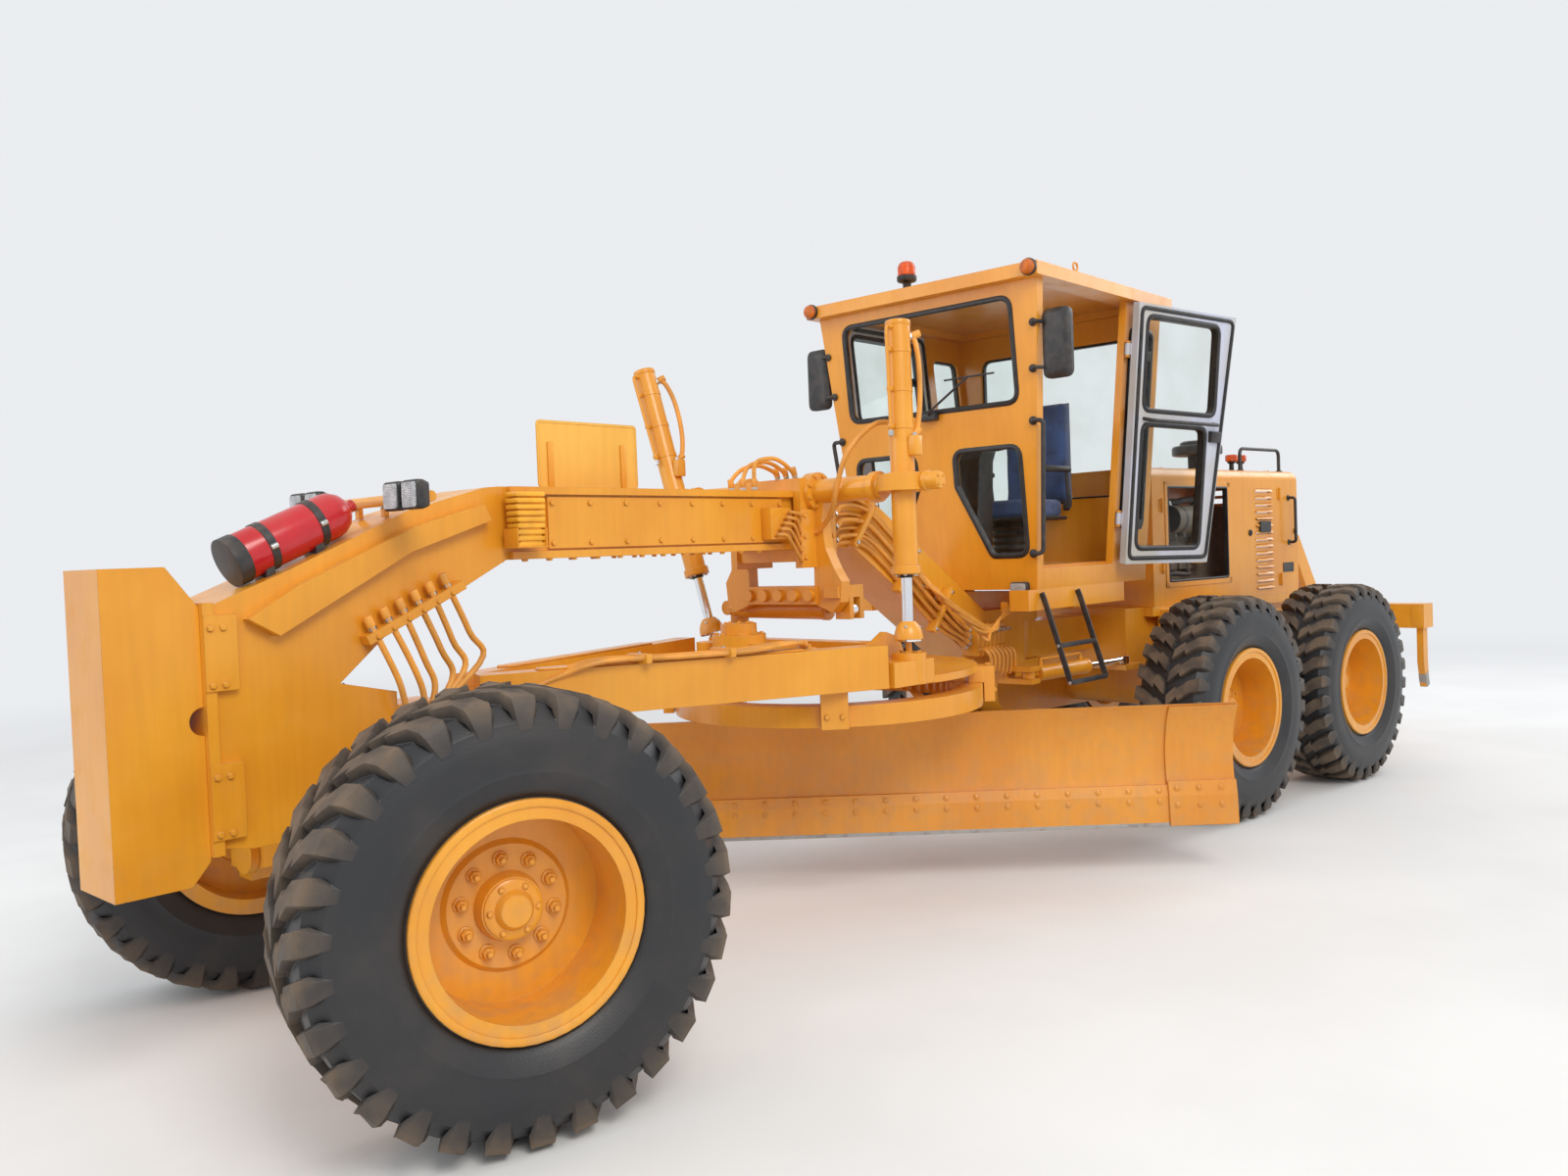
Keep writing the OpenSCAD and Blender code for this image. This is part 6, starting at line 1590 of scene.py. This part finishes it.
            # Bolts of the tandem cover plates, and grip treads on top of the cases
            for x, radius in ((MID_X, 0.15), (REAR_X, 0.15), ((MID_X + REAR_X) / 2, 0.12)):
                centre = Vector((x, 0.7702 * hand, TYRE_R))
                shape.screw_ring(centre, X, Z, radius, turns(8, 0.5), (0, hand, 0), 0.01, "frame")
            for i in range(9):
                x = -6.35 + 0.105 * i
                shape.block((x - 0.004, 0.6 * hand, 0.8452), (x + 0.004, 0.74 * hand, 0.851), "frame", 0.002)
        shape.done("tandem_fittings", "rear_frame")
        return {"FINISHED"}


class GRADER_OT_ladder(bpy.types.Operator):
    """Black steps with bent handles and gripping treads"""

    bl_idname = "grader.ladder"
    bl_label = "Ladder"

    def execute(self, context):
        shape = Shape(FRONT)
        section = ((-1, -0.8), (-0.8, -1), (0.8, -1), (1, -0.8), (1, 0.8), (0.8, 1), (-0.8, 1), (-1, 0.8))

        def lean(z):
            return 0.6154 + (1.41 - z) * 0.3227

        for x, out in ((-3.76, 1), (-4.16, -1)):
            rail = [Vector((x, 0.6154 - 0.004, 1.4105))] + [Vector((x, lean(z), z)) for z in (1.36, 1.1, 0.915)]
            rings = []
            path = smooth_path(rail, 4)
            for i, p in enumerate(path):
                ahead = (path[min(i + 1, len(path) - 1)] - path[max(i - 1, 0)]).normalized()
                across = ahead.cross(X).normalized()
                rings.append([p + X * (0.006 * u) + across * (0.0155 * v) for u, v in section])
            shape.loft(rings, "black")
            for z in (0.92, 1.12):
                shape.hexagon(eased(0.01, 0.006, 0.007, 0.008), (x + 0.006 * out, lean(z), z), X * out, "zinc")
        for z in (0.92, 1.12):
            y = 0.6154 + (1.41 - z) * 0.321
            for dy in (-0.012, 0.012):
                shape.block((-4.155, y + dy - 0.002, z - 0.012), (-3.765, y + dy + 0.002, z + 0.012), "black", 0.001)
            shape.block((-4.155, y - 0.0125, z + 0.006), (-3.765, y + 0.0125, z + 0.01), "black", 0.001)
            for i in range(15):
                x = -4.135 + 0.025 * i
                shape.lathe([(0.006, 0), (0.0045, 0.0035)], (x, y, z + 0.0095), Z, "black", 10)
        shape.done("ladder_steps", "front_frame", ("ladder_rails",))
        return {"FINISHED"}


BACKDROP = (0.828, 0.846, 0.874, 1)


class GRADER_OT_stage(bpy.types.Operator):
    """Pale floor, soft light and the photograph's camera"""

    bl_idname = "grader.stage"
    bl_label = "Stage"

    def execute(self, context):
        scene = context.scene
        scene.view_settings.view_transform = "Standard"
        place_camera(scene)
        floor = bpy.data.meshes.new("floor")
        corners = [(x, y, -0.001) for x, y in ((-60, -60), (60, -60), (60, 60), (-60, 60))]
        floor.from_pydata(corners, [], [(0, 1, 2, 3)])
        p = Paintwork("pale_floor")
        # Far from the lamps the floor takes the backdrop's own pale tone
        reach = p.add("VectorMath", {0: p.where}, operation="LENGTH").outputs["Value"]
        far = p.times(p.ramp(reach, 5.5, 16), p.seen_directly())
        glow = p.add("Emission", {"Color": BACKDROP, "Strength": 1.0})
        mix = p.add("MixShader", {0: far, 1: p.shader.outputs[0], 2: glow.outputs[0]})
        feed(p.tree, p.end, {"Surface": mix.outputs[0]})
        floor.materials.append(p.done(p.mix(p.spots(0.8, 4), (0.76, 0.755, 0.74, 1), (0.8, 0.795, 0.78, 1)), 0.9))
        stand("floor", floor)
        scene.world = bpy.data.worlds.new("soft_day")
        scene.world.use_nodes = True
        sky = ShaderTree(scene.world.node_tree)
        light = sky.add("Background", {"Color": (0.93, 0.96, 1, 1), "Strength": 0.8})
        shown = sky.add("Background", {"Color": BACKDROP, "Strength": 1.0})
        mix = sky.add("MixShader", {0: sky.seen_directly(), 1: light.outputs[0], 2: shown.outputs[0]})
        sky.add("OutputWorld", {"Surface": mix.outputs[0]})
        for name, spot, aim, size, power, tone in (
                ("key", (6, 9, 9), (0, 0, 1), 5, 720, (1, 0.97, 0.92)),
                ("fill", (9, -5, 6), (0, 0, 1), 7, 230, (0.95, 0.97, 1)),
                ("back", (-9, 3, 7), (-2, 0, 1), 6, 300, (0.95, 0.97, 1))):
            lamp = bpy.data.lights.new(name, "AREA")
            lamp.size, lamp.energy, lamp.color = size, power, tone
            holder = stand(name, lamp)
            holder.location = spot
            holder.rotation_euler = (Vector(aim) - Vector(spot)).to_track_quat("-Z", "Y").to_euler()
        return {"FINISHED"}


def place_camera(scene):
    """The camera that took the photograph, found from the machine's own points."""
    yaw, pitch, roll = (radians(a) for a in (222.15, 1.726, -2.158))
    ahead = Vector((cos(yaw) * cos(pitch), sin(yaw) * cos(pitch), -sin(pitch)))
    right = Vector((sin(yaw), -cos(yaw), 0))
    up = right.cross(ahead)
    right, up = (right * cos(roll) + up * sin(roll), -right * sin(roll) + up * cos(roll))
    data = bpy.data.cameras.new("camera")
    data.sensor_width = 36
    data.sensor_fit = "HORIZONTAL"
    data.lens = 36 * 1242.971 / 1600
    data.clip_end = 300
    camera = stand("camera", data)
    turn = Matrix((right, up, -ahead)).transposed().to_4x4()
    camera.matrix_world = Matrix.Translation(AXLE + Vector((2.158, 4.058, 1.693))) @ turn
    scene.camera = camera


STEPS = (GRADER_OT_stage, GRADER_OT_paint, GRADER_OT_tyres, GRADER_OT_wheels, GRADER_OT_windows, GRADER_OT_cab_trim,
         GRADER_OT_seat, GRADER_OT_beam, GRADER_OT_hoses, GRADER_OT_blade, GRADER_OT_cylinders, GRADER_OT_rear,
         GRADER_OT_ladder)


class GRADER_PT_panel(bpy.types.Panel):
    """Lists the grader's pieces"""

    bl_label = "Grader"
    bl_idname = "GRADER_PT_panel"
    bl_space_type = "VIEW_3D"
    bl_region_type = "UI"
    bl_category = "Grader"

    def draw(self, context):
        for step in STEPS:
            self.layout.operator(step.bl_idname)
        for group in (context.scene.grader_finish, context.scene.grader_sizes):
            for key in group.bl_rna.properties.keys():
                if key not in ("rna_type", "name"):
                    self.layout.prop(group, key)


CLASSES = (GraderFinish, GraderSizes) + STEPS + (GRADER_PT_panel,)


def register():
    """Adds the classes and the settings to Blender."""
    for cls in CLASSES:
        bpy.utils.register_class(cls)
    bpy.types.Scene.grader_finish = PointerProperty(type=GraderFinish)
    bpy.types.Scene.grader_sizes = PointerProperty(type=GraderSizes)


def unregister():
    """Takes them out again."""
    del bpy.types.Scene.grader_sizes
    del bpy.types.Scene.grader_finish
    for cls in reversed(CLASSES):
        bpy.utils.unregister_class(cls)


def main():
    """Dresses the machine step by step."""
    register()
    for step in STEPS:
        group, call = step.bl_idname.split(".")
        getattr(getattr(bpy.ops, group), call)()


if __name__ == "__main__":
    main()
